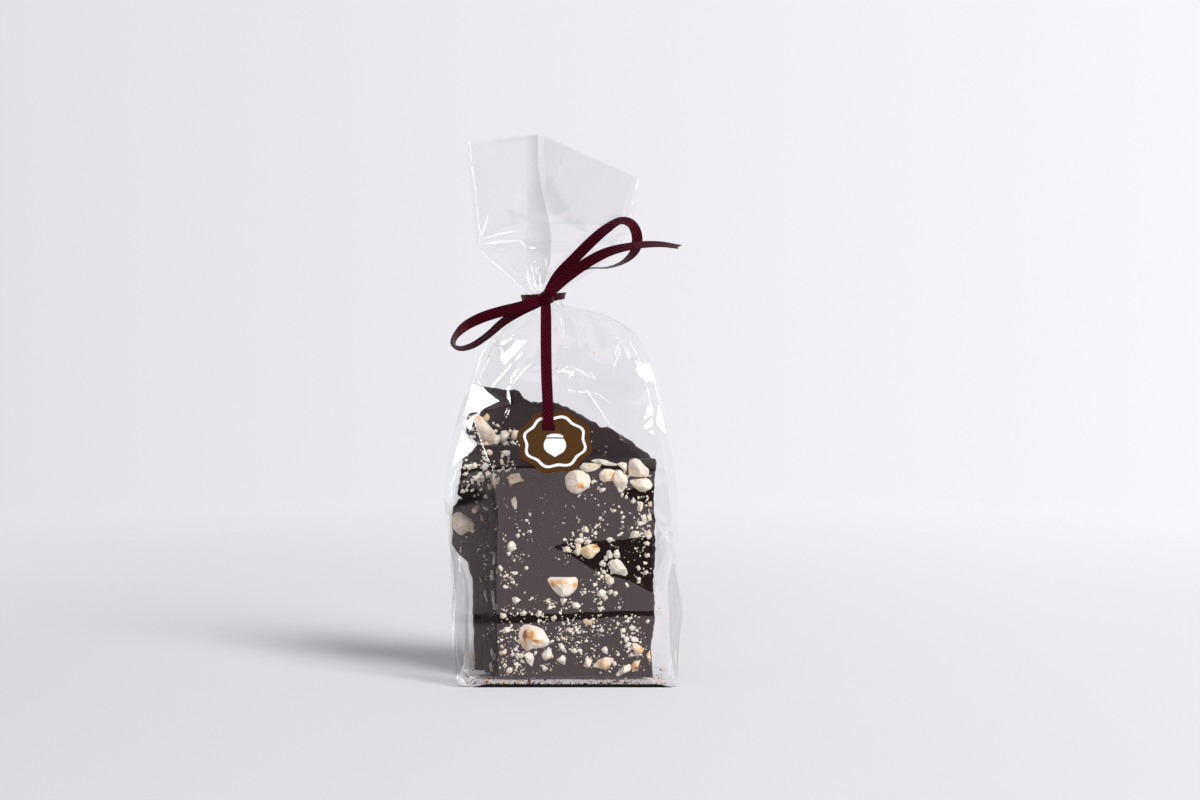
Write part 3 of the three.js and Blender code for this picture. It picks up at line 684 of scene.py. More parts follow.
shines.append(strength)
mesh_object("film_creases", *joined(slivers), crease_material, "film",
            {"shine": np.repeat(shines, [len(points) for points, _ in slivers])}, smooth=False)

# The bottom fold: pale layers lying on the table in front of the bark, a small turned-up corner at the left,
# and a near-black strip along the front: painted shade for the dark line under the fold.
FOLD_LEFT, FOLD_RIGHT, FOLD_FRONT, FOLD_REAR = -55.4, 55.0, -28.4, -12.5
FOLD_HEIGHT = 0.75
FOLD_THICKNESS = 0.12
EDGE_LEFT, EDGE_RIGHT, EDGE_FRONT = -47.4, 52.0, -29.4
EDGE_HEIGHT = 1.6
fold_x, fold_y = np.meshgrid(np.linspace(FOLD_LEFT, FOLD_RIGHT, 60), np.linspace(FOLD_FRONT, FOLD_REAR, 12))
fold_z = FOLD_HEIGHT + 0.035 * (fold_y - FOLD_FRONT) + 0.12 * np.sin(fold_x / 7 + fold_y / 3)
points, faces = closed_sheet(np.stack([fold_x, fold_y, fold_z], -1)[::-1], 0)
points[len(points) // 2:, 2] -= FOLD_THICKNESS
mesh_object("base_fold", points, faces, pale_material, "film")
corner = np.array([[[-55.8, -28.7, 7.0], [-55.8, -28.7, 7.0]], [[-55.8, -28.9, 3.4], [-52.6, -28.3, 4.2]],
                   [[-55.8, -29.0, 0.9], [-50.0, -28.4, 0.9]]])
points, faces = closed_sheet(corner, 0.05)
mesh_object("base_corner", points, faces, pale_material, "film")
# Painted shade: a near-black strip stands for the dark line under the front of the fold.
dark_line_material, add = node_material("painted_dark_line")
body = add("ShaderNodeBsdfPrincipled", {"Base Color": (0.004, 0.006, 0.005, 1), "Roughness": 0.6,
                                        "Specular IOR Level": 0.1})
add("ShaderNodeOutputMaterial", {"Surface": body.outputs[0]})
edge_x = np.linspace(EDGE_LEFT, EDGE_RIGHT, 40)
edge_y = np.full(40, EDGE_FRONT)
edge_top = 0.06 + EDGE_HEIGHT * np.clip(np.minimum(edge_x - EDGE_LEFT, EDGE_RIGHT - edge_x) / 6, 0.1, 1)
edge_low = np.full(40, 0.05)
edge = np.stack([[edge_x, edge_y, edge_top], [edge_x, edge_y, edge_low]])
points, faces = closed_sheet(edge.transpose(0, 2, 1), 0.2)
mesh_object("base_edge", points, faces, dark_line_material, "film")

# ---- Slabs of bark --------------------------------------------------------------------------------
# Five slabs of dark chocolate about 7 mm thick, poured on a flat sheet and broken by hand, so their
# faces are level and slightly wavy and their edges rough. They stand on edge, one behind another.
SLAB_THICKNESS = 6.4
SLAB_ANGLES = 520
SLABS = {
    "slab_front": (-11, (4, 56), [
        (-36.1, 99.5), (-24.3, 101.5), (-11.7, 103), (3.5, 106.1), (16.2, 112.2), (31.5, 113.2),
        (44.2, 113.2), (43.1, 92.9), (43.7, 72.4), (42.7, 52), (43.8, 31.5), (41.7, 16.1), (42.7, 2.3),
        (16.2, 2.8), (-9.2, 2.3), (-36.3, 2.3), (-36.7, 21.3), (-35.2, 41.8), (-35.6, 62.2), (-34.6, 82.6)]),
    "slab_second": (-4, (-2, 92), [
        (-46, 119.8), (-53.2, 112.6), (-54.7, 104.4), (-56.3, 94.7), (-50.2, 90.6), (-34.8, 87),
        (-39.7, 83.4), (-40.7, 59.3), (-39.2, 29.2), (-40.2, 2.1), (38.1, 2.1), (40.1, 59.3), (40.1, 99.5),
        (30.1, 109.6), (-0.1, 115.6), (-20.2, 119.1)]),
    "slab_third": (3, (-4, 95), [
        (-46.3, 149.1), (-32, 147.6), (-26.9, 147.1), (-24.7, 146.5), (-22.7, 143), (-18.1, 140.9),
        (-7.3, 140.9), (-0.2, 138.3), (8.6, 132.6), (13.7, 130.6), (16.2, 128.2), (19.9, 128.6),
        (23.5, 127), (27.1, 123.9), (32.4, 121.3), (34.4, 118.1), (40.5, 114.5), (44.5, 110.9),
        (42.6, 89.6), (41.1, 2.3), (-43.2, 2.3), (-44.7, 39.4), (-43.7, 79.5), (-45.2, 109.6),
        (-46.8, 120.9), (-51.9, 125.5), (-51.4, 134.2)]),
    "slab_fourth": (10, (-5, 60), [
        (-59.4, 86.8), (-59.6, 67.6), (-56.1, 62.4), (-52, 58.8), (-49.4, 49.4), (-48.9, 39),
        (-48.5, 2.7), (35.9, 2.7), (36.9, 80.4), (20, 100.4), (-19.9, 100.4), (-49.8, 92.4),
        (-56.8, 90.4)]),
    "slab_rear": (17, (-2, 50), [
        (-45, 60), (-46, 30), (-45, 2.2), (38, 2.2), (37, 50), (39, 88), (10, 93),
        (-30, 90), (-42, 84)]),
}


def ripple(a, b, seed, count, low, high):
    """Sum of sines of (a, b) in random directions with wavelengths low to high, about -1 to 1."""
    dice = np.random.default_rng(seed)
    total = 0
    for _ in range(count):
        turn, length, phase = dice.uniform(0, 2 * np.pi), dice.uniform(low, high), dice.uniform(0, 2 * np.pi)
        total = total + np.sin(2 * np.pi * (a * np.cos(turn) + b * np.sin(turn)) / length + phase)
    return total / math.sqrt(count)


def outline_reach(outline, centre, angles):
    """Distance from centre to the outline at each angle, for an outline seen whole from its centre."""
    corners = np.array(outline, float)
    sides = np.roll(corners, -1, 0) - corners
    offset = np.concatenate([corners + sides * t for t in np.linspace(0, 1, 60, False)]) - np.array(centre)
    turn = np.arctan2(offset[:, 1], offset[:, 0])
    order = np.argsort(turn)
    return np.interp(angles, turn[order], np.hypot(*offset.T)[order], period=2 * np.pi)


def ring_solid(rings, centre, front_y, rear_y):
    """Points and triangles of a closed solid: rings of points about the centre (x, z), from the front
    to the rear, and one point on the centre that closes each end."""
    rows, around = rings.shape[:2]
    ends = [[centre[0], front_y, centre[1]], [centre[0], rear_y, centre[1]]]
    ring = np.arange(rows * around).reshape(rows, around)
    after = np.roll(ring, -1, 1)
    a, b, c, d = (block.reshape(-1) for block in (ring[:-1], after[:-1], after[1:], ring[1:]))
    first, last = (np.full(around, rows * around + end) for end in (0, 1))
    corners = [(a, d, b), (b, d, c), (first, ring[0], after[0]), (ring[-1], last, after[-1])]
    faces = np.concatenate([np.stack(row, -1) for row in corners])
    return np.concatenate([rings.reshape(-1, 3), ends]), faces


def slab_mesh(front, centre, outline, seed):
    """A slab as rings about its centre: out over the front, round the broken edge, back over the rear."""
    angles = np.linspace(-np.pi, np.pi, SLAB_ANGLES, False)
    reach = outline_reach(outline, centre, angles)
    front_share = np.linspace(0, 1, 30)[1:] ** 0.85
    side_depth = np.linspace(0, 1, 8)[1:-1]
    back_share = np.linspace(1, 0, 8)[:-1]
    share = np.concatenate([front_share, np.ones(len(side_depth)), back_share])[:, None]
    depth = np.concatenate([np.zeros(len(front_share)), side_depth, np.ones(len(back_share))])[:, None]
    step_x, step_z = (np.diff(reach * part(angles), prepend=0) for part in (np.cos, np.sin))
    arc = np.cumsum(np.hypot(step_x, step_z))
    rough = 0.35 * ripple(arc, depth * 9, seed, 7, 6, 16)
    rough = rough + 0.22 * ripple(arc, depth * 7, seed + 1, 8, 1.8, 4.5)
    bulge = (0.5 + 0.3 * ripple(arc / 3, depth * 8, seed + 2, 5, 5, 14)) * np.sin(np.pi * depth)
    rounded = 0.45 * np.exp(-(1 - share) * reach / 0.5) * ((depth == 0) * 1.0 - (depth == 1))
    radius = reach * share + rough * share ** 12 + bulge * (depth > 0) * (depth < 1)
    x = centre[0] + radius * np.cos(angles)
    z = centre[1] + radius * np.sin(angles)
    wave = 0.28 * ripple(x, z, seed + 3, 6, 25, 60) + 0.05 * ripple(x, z, seed + 4, 8, 4, 10)
    y = front + SLAB_THICKNESS * depth + wave + rounded
    return ring_solid(np.stack([x, y, z], -1), centre, y[0].mean(), y[-1].mean())


chocolate_material, add = node_material("dark_chocolate")
place = add("ShaderNodeTexCoord").outputs["Object"]
cloud = add("ShaderNodeTexNoise", {"Vector": place, "Scale": 60.0, "Detail": 3.0})
grain = add("ShaderNodeTexNoise", {"Vector": place, "Scale": 900.0, "Detail": 2.0})
tint = add("ShaderNodeMix", {0: cloud.outputs["Fac"], 6: (0.0085, 0.0040, 0.0036, 1),
                             7: (0.0140, 0.0068, 0.0062, 1)}, data_type="RGBA")
bump = add("ShaderNodeBump", {"Strength": 0.1, "Distance": 0.0002, "Height": grain.outputs["Fac"]})
body = add("ShaderNodeBsdfPrincipled", {"Base Color": tint.outputs[2], "Roughness": 0.5,
                                        "Specular IOR Level": 0.1, "Normal": bump.outputs[0]})
add("ShaderNodeOutputMaterial", {"Surface": body.outputs[0]})
for number, (name, (front, centre, outline)) in enumerate(SLABS.items()):
    points, faces = slab_mesh(front, centre, outline, 40 + 10 * number)
    mesh_object(name, points, faces, chocolate_material, "chocolate")

# ---- Hazelnuts ------------------------------------------------------------------------------------
# Roasted blanched hazelnuts, chopped: halves and chunks with flat broken faces, cream inside and
# golden to brown where the skin side was roasted. They sit part sunk in the face of each slab.
nut_material, add = node_material("roasted_hazelnut")
toast = add("ShaderNodeAttribute", attribute_name="toast").outputs["Fac"]
place = add("ShaderNodeTexCoord").outputs["Object"]
mottle = add("ShaderNodeTexNoise", {"Vector": place, "Scale": 420.0, "Detail": 3.0})
shift = add("ShaderNodeMath", {0: mottle.outputs["Fac"], 1: 0.5}, operation="SUBTRACT")
spread = add("ShaderNodeMath", {0: shift.outputs[0], 1: 1.0, 2: toast}, operation="MULTIPLY_ADD")
toasting = add("ShaderNodeValToRGB", {0: spread.outputs[0]})
stops = toasting.color_ramp.elements
stops[0].color = (0.82, 0.77, 0.69, 1)
stops[1].color = (0.10, 0.026, 0.008, 1)
for position, colour in ((0.25, (0.80, 0.67, 0.50, 1)), (0.5, (0.78, 0.45, 0.15, 1)),
                         (0.75, (0.52, 0.19, 0.04, 1))):
    stops.new(position).color = colour
fine = add("ShaderNodeTexNoise", {"Vector": place, "Scale": 1100.0, "Detail": 3.0})
bump = add("ShaderNodeBump", {"Strength": 0.8, "Distance": 0.0004, "Height": fine.outputs["Fac"]})
body = add("ShaderNodeBsdfPrincipled", {"Base Color": toasting.outputs[0], "Roughness": 0.62,
                                        "Normal": bump.outputs[0]})
add("ShaderNodeOutputMaterial", {"Surface": body.outputs[0]})

# Large pieces that show: y of the slab face, rise above it, toast from 0 to 1, outline in (x, z).
NUT_PIECES = [
    (-11, 5.2, 0.10, [(1.5, 108.2), (7.6, 108.2), (10.7, 105.6), (11.7, 102.6), (10.7, 99.5), (8.1, 97.5),
        (5.1, 95.9), (2, 96.5), (-0.5, 98.5), (-1.5, 101.5), (-1.5, 105.1)]),
    (-11, 2.6, 0.16, [(5.6, 109.7), (7.6, 111.7), (12.2, 111.7), (17.3, 111.2), (16.2, 109.2),
        (13.2, 107.7), (9.7, 107.1), (6.6, 108.7)]),
    (-11, 3.2, 0.22, [(16.2, 107.1), (18.3, 108.7), (21.3, 108.7), (24.4, 107.7), (22.8, 105.1),
        (22.3, 102.6), (18.8, 102.1), (16.2, 103.1), (15.7, 105.6)]),
    (-11, 3.8, 0.12, [(24.4, 108.2), (26.9, 108.2), (28.4, 106.1), (29.9, 105.6), (30.5, 102.1),
        (28.9, 98.5), (27.4, 96.5), (25.9, 96.5), (24.4, 100), (22.3, 103.1), (23.4, 106.1)]),
    (-11, 2.0, 0.06, [(11.2, 113.2), (15.2, 113.8), (19.3, 113.2), (21.3, 112.2), (25.4, 111.2),
        (24.4, 110.2), (19.3, 110.4), (15.2, 111.7), (12.2, 112.2)]),
    (-11, 2.6, 0.10, [(24.9, 111.2), (26.9, 112.2), (29.9, 111.7), (29.9, 108.7), (29.4, 107.1),
        (27.4, 108.7)]),
    (-11, 4.6, 0.14, [(31, 113.2), (34, 114.3), (36.5, 113.2), (39.1, 110.2), (41.1, 108.7), (41.1, 106.1),
        (39.1, 104.6), (34.5, 104.6), (31, 105.1), (30.5, 109.2)]),
    (-11, 4.2, 0.12, [(31.5, 103.1), (34.5, 103.6), (39.6, 104.1), (41.6, 103.1), (43.1, 100.5),
        (42.1, 98.5), (39.1, 97), (36.6, 97), (33.5, 99.5), (31.5, 101.5)]),
    (-11, 3.6, 0.26, [(6.6, 68.4), (9.6, 69.9), (12.7, 70.5), (14.7, 69.9), (16.2, 68.4), (16.2, 66.9),
        (14.2, 65.3), (12.7, 63.3), (10.7, 62.8), (8.1, 63.8), (6.1, 65.9), (5.1, 67.4)]),
    (-11, 2.2, 0.22, [(3.5, 71), (6.6, 71), (6.6, 67.9), (6.1, 64.8), (4.6, 64.3), (3, 65.9),
        (4.1, 68.4)]),
    (-11, 2.4, 0.04, [(3, 72), (4.6, 73.5), (7.1, 73.5), (8.1, 72.5), (7.6, 71), (5.1, 70.5)]),
    (-11, 2.2, 0.12, [(-2.6, 68.4), (-0.5, 69.4), (1, 67.9), (0.5, 66.4), (-1.5, 66.4), (-2.6, 67.4)]),
    (-11, 4.4, 0.06, [(22.3, 61.8), (24.9, 63.3), (26.9, 61.8), (29.5, 58.2), (30.5, 55.6), (30, 53.6),
        (26.9, 54.6), (22.9, 55.6), (21.3, 57.2), (21.3, 60.2)]),
    (-11, 2.4, 0.10, [(23.4, 66.9), (25.4, 67.9), (26.4, 65.3), (26.4, 63.3), (23.9, 63.3), (22.9, 64.8)]),
    (-11, 2.2, 0.04, [(19.8, 66.9), (21.3, 67.4), (22.9, 64.8), (22.9, 63.3), (20.8, 62.8), (19.3, 64.8)]),
    (-11, 2.6, 0.16, [(18.8, 53.6), (21.3, 54.1), (23.4, 52.6), (23.4, 50.5), (21.3, 49), (19.3, 50.5)]),
    (-11, 5.4, 0.05, [(-10.7, 52.6), (-9.2, 53.6), (4, 53.6), (5.1, 52.1), (4.6, 48), (3, 45.9),
        (0.5, 43.9), (-3.1, 43.4), (-5.6, 44.9), (-7.7, 47), (-9.7, 50)]),
    (-11, 2.6, 0.08, [(-30, 71.5), (-28, 72), (-26.4, 69.9), (-26.9, 67.4), (-29, 66.4), (-30.5, 67.4),
        (-31, 69.4)]),
    (-11, 1.8, 0.06, [(-31.5, 65.9), (-29.5, 66.9), (-29, 65.3), (-30.5, 64.3)]),
    (-11, 1.8, 0.12, [(-26.9, 75), (-24.9, 76.1), (-24.4, 74), (-25.9, 73.5)]),
    (-11, 2.6, 0.05, [(14.7, 45.4), (16.8, 47.5), (19.3, 46.4), (19.3, 44.4), (17.3, 43.4), (14.7, 43.9)]),
    (-11, 2.0, 0.05, [(22.9, 45.9), (24.9, 46.4), (25.4, 44.9), (23.9, 43.4), (22.9, 44.4)]),
    (-11, 2.4, 0.05, [(-28.5, 42.9), (-26.5, 43.4), (-23.9, 41.8), (-26, 40.3), (-28, 40.3)]),
    (-11, 2.6, 0.14, [(31.5, 75.6), (33, 77.1), (35.6, 77.1), (36.6, 75), (35, 73.5), (32, 73.5)]),
    (-11, 2.4, 0.06, [(19.3, 73), (20.8, 74), (22.9, 73.5), (22.9, 72), (20.8, 71)]),
    (-11, 2.2, 0.16, [(6.6, 78.1), (8.6, 79.6), (10.7, 77.6), (10.2, 76.1), (8.1, 76.6)]),
    (-11, 2.2, 0.14, [(38.6, 64.8), (41.2, 65.9), (41.7, 63.8), (39.6, 63.3)]),
    (-11, 6.0, 0.06, [(-22.9, 29), (-20.4, 29.6), (-16.3, 28.5), (-12.8, 27), (-10.7, 23.4), (-9.2, 20.8),
        (-9.7, 18.8), (-12.8, 17.3), (-17.4, 17.3), (-20.9, 15.7), (-23, 17.3), (-24.5, 20.3),
        (-25.5, 23.9), (-24.5, 27)]),
    (-11, 2.4, 0.14, [(-34.1, 26), (-32.1, 28), (-29.1, 28), (-29.1, 26), (-31.1, 24.9), (-33.6, 25.5)]),
    (-11, 2.2, 0.08, [(-34.6, 35.2), (-31.6, 34.7), (-31.1, 33.1), (-33.1, 32.1), (-34.6, 32.6)]),
    (-11, 2.8, 0.05, [(-13.8, 13.7), (-11.8, 16.2), (-8.7, 17.3), (-8.2, 14.2), (-7.2, 12.6),
        (-10.2, 11.6), (-11.3, 10.6), (-12.8, 11.6)]),
    (-11, 2.6, 0.06, [(-23, 13.7), (-20.4, 15.2), (-17.9, 14.2), (-17.4, 11.1), (-18.4, 7.5), (-20.9, 9.6),
        (-21.9, 12.1)]),
    (-11, 2.6, 0.05, [(-5.1, 19.3), (-3.1, 19.8), (-1.1, 16.2), (-2.6, 15.2), (-4.1, 16.7)]),
    (-11, 2.2, 0.06, [(1.5, 16.7), (3.5, 17.3), (5, 15.2), (3.5, 14.2), (1.5, 15.2)]),
    (-11, 3.0, 0.06, [(-4.1, 12.6), (-2.6, 14.2), (-1.1, 12.1), (-1.6, 8.5), (-3.6, 9.1), (-6.2, 11.1)]),
    (-11, 3.2, 0.08, [(8.6, 12.1), (10.1, 12.6), (12.2, 10.6), (11.2, 7.5), (9.6, 7), (7.6, 8),
        (8.6, 10.1)]),
    (-11, 3.6, 0.26, [(12.2, 7.5), (15.2, 11.1), (18.8, 12.6), (22.9, 12.1), (23.4, 11.1), (21.9, 9.1),
        (20.8, 6.5), (17.8, 6.5), (14.7, 7)]),
    (-11, 2.0, 0.05, [(22.9, 10.6), (24.4, 10.1), (24.9, 8.5), (23.4, 7.5), (22.4, 9.1)]),
    (-11, 3.4, 0.24, [(32.5, 19.8), (34.6, 19.8), (37.1, 18.3), (38.7, 16.2), (37.1, 14.2), (35.1, 12.6),
        (34.1, 14.7), (32.5, 17.8)]),
    (-11, 2.4, 0.04, [(28.5, 18.3), (30.5, 20.3), (32.5, 19.8), (31.5, 17.8), (29, 17.3)]),
    (-11, 2.0, 0.12, [(31, 13.7), (32.5, 15.2), (33.6, 13.2), (32, 12.6)]),
    (-11, 3.0, 0.08, [(26.4, 6), (28.5, 8), (31.5, 9.1), (32.6, 7.5), (31.5, 5.5), (28, 3.9), (25.4, 2.4),
        (23.9, 3.4)]),
    (-11, 2.8, 0.38, [(32, 8), (33.6, 10.6), (35.6, 10.6), (37.1, 11.6), (36.1, 8.5), (35.6, 5.5),
        (32.6, 5)]),
    (-11, 2.4, 0.12, [(16.8, 16.7), (19.3, 18.3), (20.3, 16.2), (19.8, 14.2), (17.8, 14.7)]),
    (-11, 2.0, 0.05, [(26.4, 27), (29, 27.5), (28.5, 25.5), (26.9, 23.9)]),
    (-11, 2.6, 0.34, [(39.7, 13.7), (41.7, 16.2), (42.2, 12.1), (41.7, 9.6), (40.7, 11.1)]),
    (-11, 1.8, 0.05, [(39.2, 30.6), (40.7, 32.1), (41.7, 31.1), (40.7, 29.6)]),
    (-11, 2.2, 0.14, [(-13.8, 8.5), (-12.3, 8.5), (-10.2, 6.5), (-11.8, 5), (-12.8, 5.5)]),
    (-11, 2.2, 0.36, [(-35.2, 15.2), (-32.6, 16.2), (-31.1, 15.2), (-32.1, 13.7), (-34.7, 13.7)]),
    (-11, 1.8, 0.05, [(-29.6, 13.7), (-28.1, 15.2), (-27, 13.7), (-28.6, 12.6)]),
    (-11, 2.2, 0.05, [(-16.8, 34.2), (-15.3, 36.2), (-13.3, 36.2), (-13.8, 33.7), (-15.8, 33.1)]),
    (-11, 2.2, 0.05, [(-24.5, 35.2), (-22.4, 36.7), (-20.9, 35.2), (-21.9, 33.7), (-24, 33.7)]),
    (-11, 2.2, 0.14, [(-8.7, 33.1), (-6.6, 34.2), (-5.6, 32.6), (-7.2, 30.6), (-8.7, 31.6)]),
    (-11, 2.2, 0.34, [(8.1, 32.1), (11.2, 31.6), (12.7, 32.6), (14.7, 32.1), (12.2, 31.1), (12.2, 29),
        (9.1, 29), (7.6, 30.6)]),
    (-11, 1.8, 0.10, [(28.5, 22.9), (30.5, 23.4), (31, 21.4), (29.5, 19.8), (28.5, 20.8)]),
    (-11, 1.8, 0.05, [(15.7, 98.5), (17.3, 99), (19.3, 99), (18.8, 97.5), (16.2, 96.5)]),
    (-11, 1.8, 0.05, [(26.4, 95.4), (27.4, 96.5), (28.4, 96.5), (27.9, 93.9), (26.9, 94.4)]),
    (-11, 1.8, 0.10, [(31.5, 92.4), (33, 93.4), (34.5, 93.4), (34, 91.4), (33, 90.8)]),
    (-11, 2.6, 0.20, [(35, 89.3), (36.6, 90.8), (38.1, 90.8), (38.1, 88.8), (37.1, 86.8), (35, 87.3)]),
    (-11, 1.8, 0.22, [(21.3, 86.3), (22.9, 88.3), (24.9, 88.8), (25.9, 87.8), (23.4, 86.8), (21.8, 85.8)]),
    (-11, 1.6, 0.05, [(26.9, 84.2), (28.4, 85.2), (28.9, 83.7), (27.4, 82.7)]),
    (-11, 1.6, 0.05, [(26.9, 82.2), (28.4, 82.2), (28.4, 80.7), (26.9, 81.2)]),
    (-11, 1.6, 0.14, [(15.2, 83.2), (16.2, 84.2), (17.3, 84.2), (16.8, 82.2)]),
    (-11, 1.6, 0.06, [(13.2, 79.1), (14.2, 80.1), (14.7, 78.6), (13.7, 78.1)]),
    (-11, 1.8, 0.08, [(37.1, 84.2), (39.1, 85.8), (40.1, 83.7), (39.1, 80.7), (37.6, 82.2)]),
    (-11, 2.2, 0.12, [(40.1, 85.2), (42.1, 85.8), (42.7, 82.7), (40.6, 81.7)]),
    (-11, 2.0, 0.24, [(39.6, 76.6), (41.6, 78.1), (42.2, 75), (40.6, 74)]),
    (-11, 1.8, 0.30, [(40.6, 91.4), (42.6, 92.4), (42.7, 89.8), (41.1, 89.3)]),
    (-11, 1.8, 0.05, [(8.6, 72), (10.2, 73), (11.7, 72), (10.7, 69.9), (9.1, 70.5)]),
    (-11, 2.0, 0.08, [(38.1, 71), (40.1, 72), (41.7, 71), (41.1, 69.4), (39.1, 69.9)]),
    (-11, 1.6, 0.05, [(38.1, 56.2), (40.1, 57.2), (41.2, 55.6), (39.1, 54.6)]),
    (-11, 1.6, 0.05, [(28.5, 51), (30, 51), (31.5, 48.5), (30, 48)]),
    (-11, 2.0, 0.05, [(2, 39.8), (4.5, 40.8), (6.6, 38.8), (5.1, 37.2), (2.5, 37.7)]),
    (-11, 1.8, 0.05, [(-4.1, 42.4), (-2.1, 42.9), (-0.5, 41.8), (-1.6, 40.3), (-3.1, 39.3)]),
    (-11, 3.0, 0.26, [(-30.4, 104.6), (-28.4, 106.1), (-24.8, 106.6), (-23.8, 104.1), (-21.8, 102.6),
        (-24.9, 102.1), (-27.9, 101), (-29.4, 99.5), (-29.9, 102.1)]),
    (-11, 2.0, 0.20, [(-28.9, 92.9), (-26.9, 94.9), (-25.9, 92.4), (-25.9, 88.8), (-26.9, 87.8),
        (-28.4, 90.3)]),
    (-4, 3.0, 0.05, [(-49.6, 108.6), (-49, 110.7), (-47.5, 111.7), (-46, 110.2), (-46.5, 108.6),
        (-48.5, 108.1)]),
    (-4, 2.8, 0.06, [(-45, 109.1), (-43.4, 110.7), (-41.4, 109.1), (-40.9, 107.6), (-42.9, 107.6)]),
    (-4, 2.8, 0.12, [(-42.4, 106.1), (-40.4, 107.1), (-38.3, 105), (-40.4, 104), (-41.9, 104.5)]),
    (-4, 2.6, 0.12, [(-45, 104), (-43.4, 105), (-42.4, 103.5), (-44, 102), (-45, 102.5)]),
    (-4, 2.4, 0.10, [(-54.2, 105), (-52.6, 106.6), (-50.6, 106.1), (-52.1, 104.5)]),
    (-4, 2.4, 0.10, [(-52.6, 109.1), (-51.6, 110.7), (-50.6, 109.1), (-51.6, 108.1)]),
    (-4, 2.4, 0.05, [(-41.4, 100.4), (-40.4, 100.9), (-38.9, 98.4), (-39.4, 96.8), (-40.9, 97.9)]),
    (-4, 2.6, 0.05, [(-43.5, 94.3), (-41.9, 95.3), (-40.9, 93.3), (-41.4, 92.8), (-43, 93.3)]),
    (-4, 2.2, 0.22, [(-39.4, 102.5), (-37.3, 103.5), (-35.3, 101.5), (-35.3, 98.9), (-37.3, 97.9),
        (-39.4, 99.9)]),
    (-4, 2.0, 0.16, [(-44.4, 117.3), (-42.4, 117.8), (-40.9, 116.8), (-41.9, 115.3), (-43.9, 115.3)]),
    (-4, 2.0, 0.12, [(-47, 102.5), (-45, 103), (-44.5, 101.5), (-46.5, 101.5)]),
    (3, 4.6, 0.16, [(-49.3, 134.8), (-46.8, 136.3), (-43.7, 133.8), (-40.1, 129.6), (-37.6, 126.6),
        (-37.1, 124), (-39.6, 121.9), (-43.2, 121.9), (-45.3, 124.5), (-47.3, 129.1)]),
    (3, 3.0, 0.34, [(-44.8, 120.9), (-41.7, 121.9), (-40.1, 119.9), (-42.2, 117.8), (-45.3, 118.3)]),
    (3, 3.2, 0.14, [(-40.7, 120.4), (-38.1, 124), (-35, 125.5), (-34, 122.5), (-36.6, 119.9),
        (-39.6, 118.9)]),
    (3, 3.0, 0.12, [(-35, 123.5), (-34.5, 127.1), (-31.9, 127.6), (-29.9, 125.5), (-31.9, 122.5),
        (-31.4, 120.4), (-34, 120.4)]),
    (3, 2.8, 0.10, [(-29.4, 124.5), (-28.3, 127.6), (-25.3, 127.6), (-25.8, 124.5), (-27.8, 122.5),
        (-29.4, 123)]),
    (3, 2.6, 0.08, [(-30.4, 121.4), (-28.3, 121.9), (-26.3, 120.4), (-27.8, 119.4)]),
    (3, 2.4, 0.10, [(-50.4, 128.6), (-48.3, 129.1), (-47.8, 127.1), (-49.9, 127.1)]),
    (3, 2.4, 0.10, [(-51.4, 124), (-49.9, 125), (-48.8, 123.5), (-50.4, 123)]),
    (3, 2.4, 0.20, [(-44.2, 133.8), (-41.6, 136.3), (-40.1, 134.3), (-41.1, 132.2), (-43.2, 132.2)]),
    (3, 2.0, 0.14, [(-39.6, 117.8), (-38.1, 116.8), (-35, 112.7), (-32.5, 110.1), (-33.5, 109.6),
        (-36.6, 112.7), (-39.1, 115.8)]),
    (3, 2.0, 0.12, [(-36.6, 118.3), (-35, 118.9), (-33, 113.7), (-32, 111.1), (-33.5, 111.7),
        (-35.5, 115.3)]),
    (3, 2.0, 0.50, [(-32, 109.6), (-30.4, 110.1), (-28.9, 108.6), (-30.4, 107), (-31.5, 108.1)]),
    (3, 1.8, 0.10, [(-27.3, 117.8), (-26.3, 118.3), (-25.8, 116.8), (-26.8, 116.3)]),
    (10, 4.6, 0.20, [(-60.2, 82.7), (-58.1, 84.7), (-55.5, 84.7), (-52.9, 82.7), (-49.8, 80.6),
        (-48.3, 78), (-49.3, 75.4), (-52.4, 74.4), (-55.5, 72.3), (-57.6, 73.8), (-59.7, 75.9)]),
    (10, 2.6, 0.50, [(-45.7, 83.2), (-42.1, 83.2), (-42.1, 80.6), (-43.6, 79.5), (-45.2, 80.1)]),
    (3, 2.8, 0.12, [(-49.5, 85.4), (-47.9, 88), (-46.4, 89), (-45.4, 87.5), (-46.9, 85.4), (-48.4, 84.4)]),
    (3, 1.8, 0.55, [(-50, 85.9), (-48.4, 88.5), (-47.4, 88.5), (-48.9, 85.9)]),
    (3, 2.4, 0.26, [(-44.3, 88.5), (-42.3, 90), (-41.2, 88), (-41.2, 85.9), (-43.3, 86.4)]),
    (-4, 2.0, 0.12, [(-38.4, 63.5), (-37.4, 66.1), (-36.9, 63), (-37.4, 59.4), (-39, 58.9)]),
    (-4, 2.0, 0.20, [(-40, 56.3), (-38.4, 56.3), (-37.9, 52.7), (-38.5, 51.2), (-39.5, 52.7)]),
    (-4, 2.0, 0.14, [(-36.9, 58.9), (-36.4, 56.8), (-34.9, 54.8), (-35.9, 51.7), (-36.9, 53.8)]),
    (3, 2.0, 0.14, [(-43.4, 46.7), (-42.4, 43.1), (-41.4, 38.4), (-42.4, 39.5), (-43.4, 42.6)]),
    (-4, 2.2, 0.14, [(-39.5, 47.1), (-38, 46.1), (-37.5, 41.9), (-37.5, 38.9), (-36.4, 35.3), (-38, 36.3),
        (-39, 40.4)]),
    (3, 2.0, 0.14, [(-46, 52.4), (-44.4, 49.3), (-44.9, 48.8), (-45.4, 50.3)]),
    (-4, 2.2, 0.14, [(-40.1, 14.6), (-39, 16.7), (-38, 12.6), (-37.5, 9), (-38.6, 10)]),
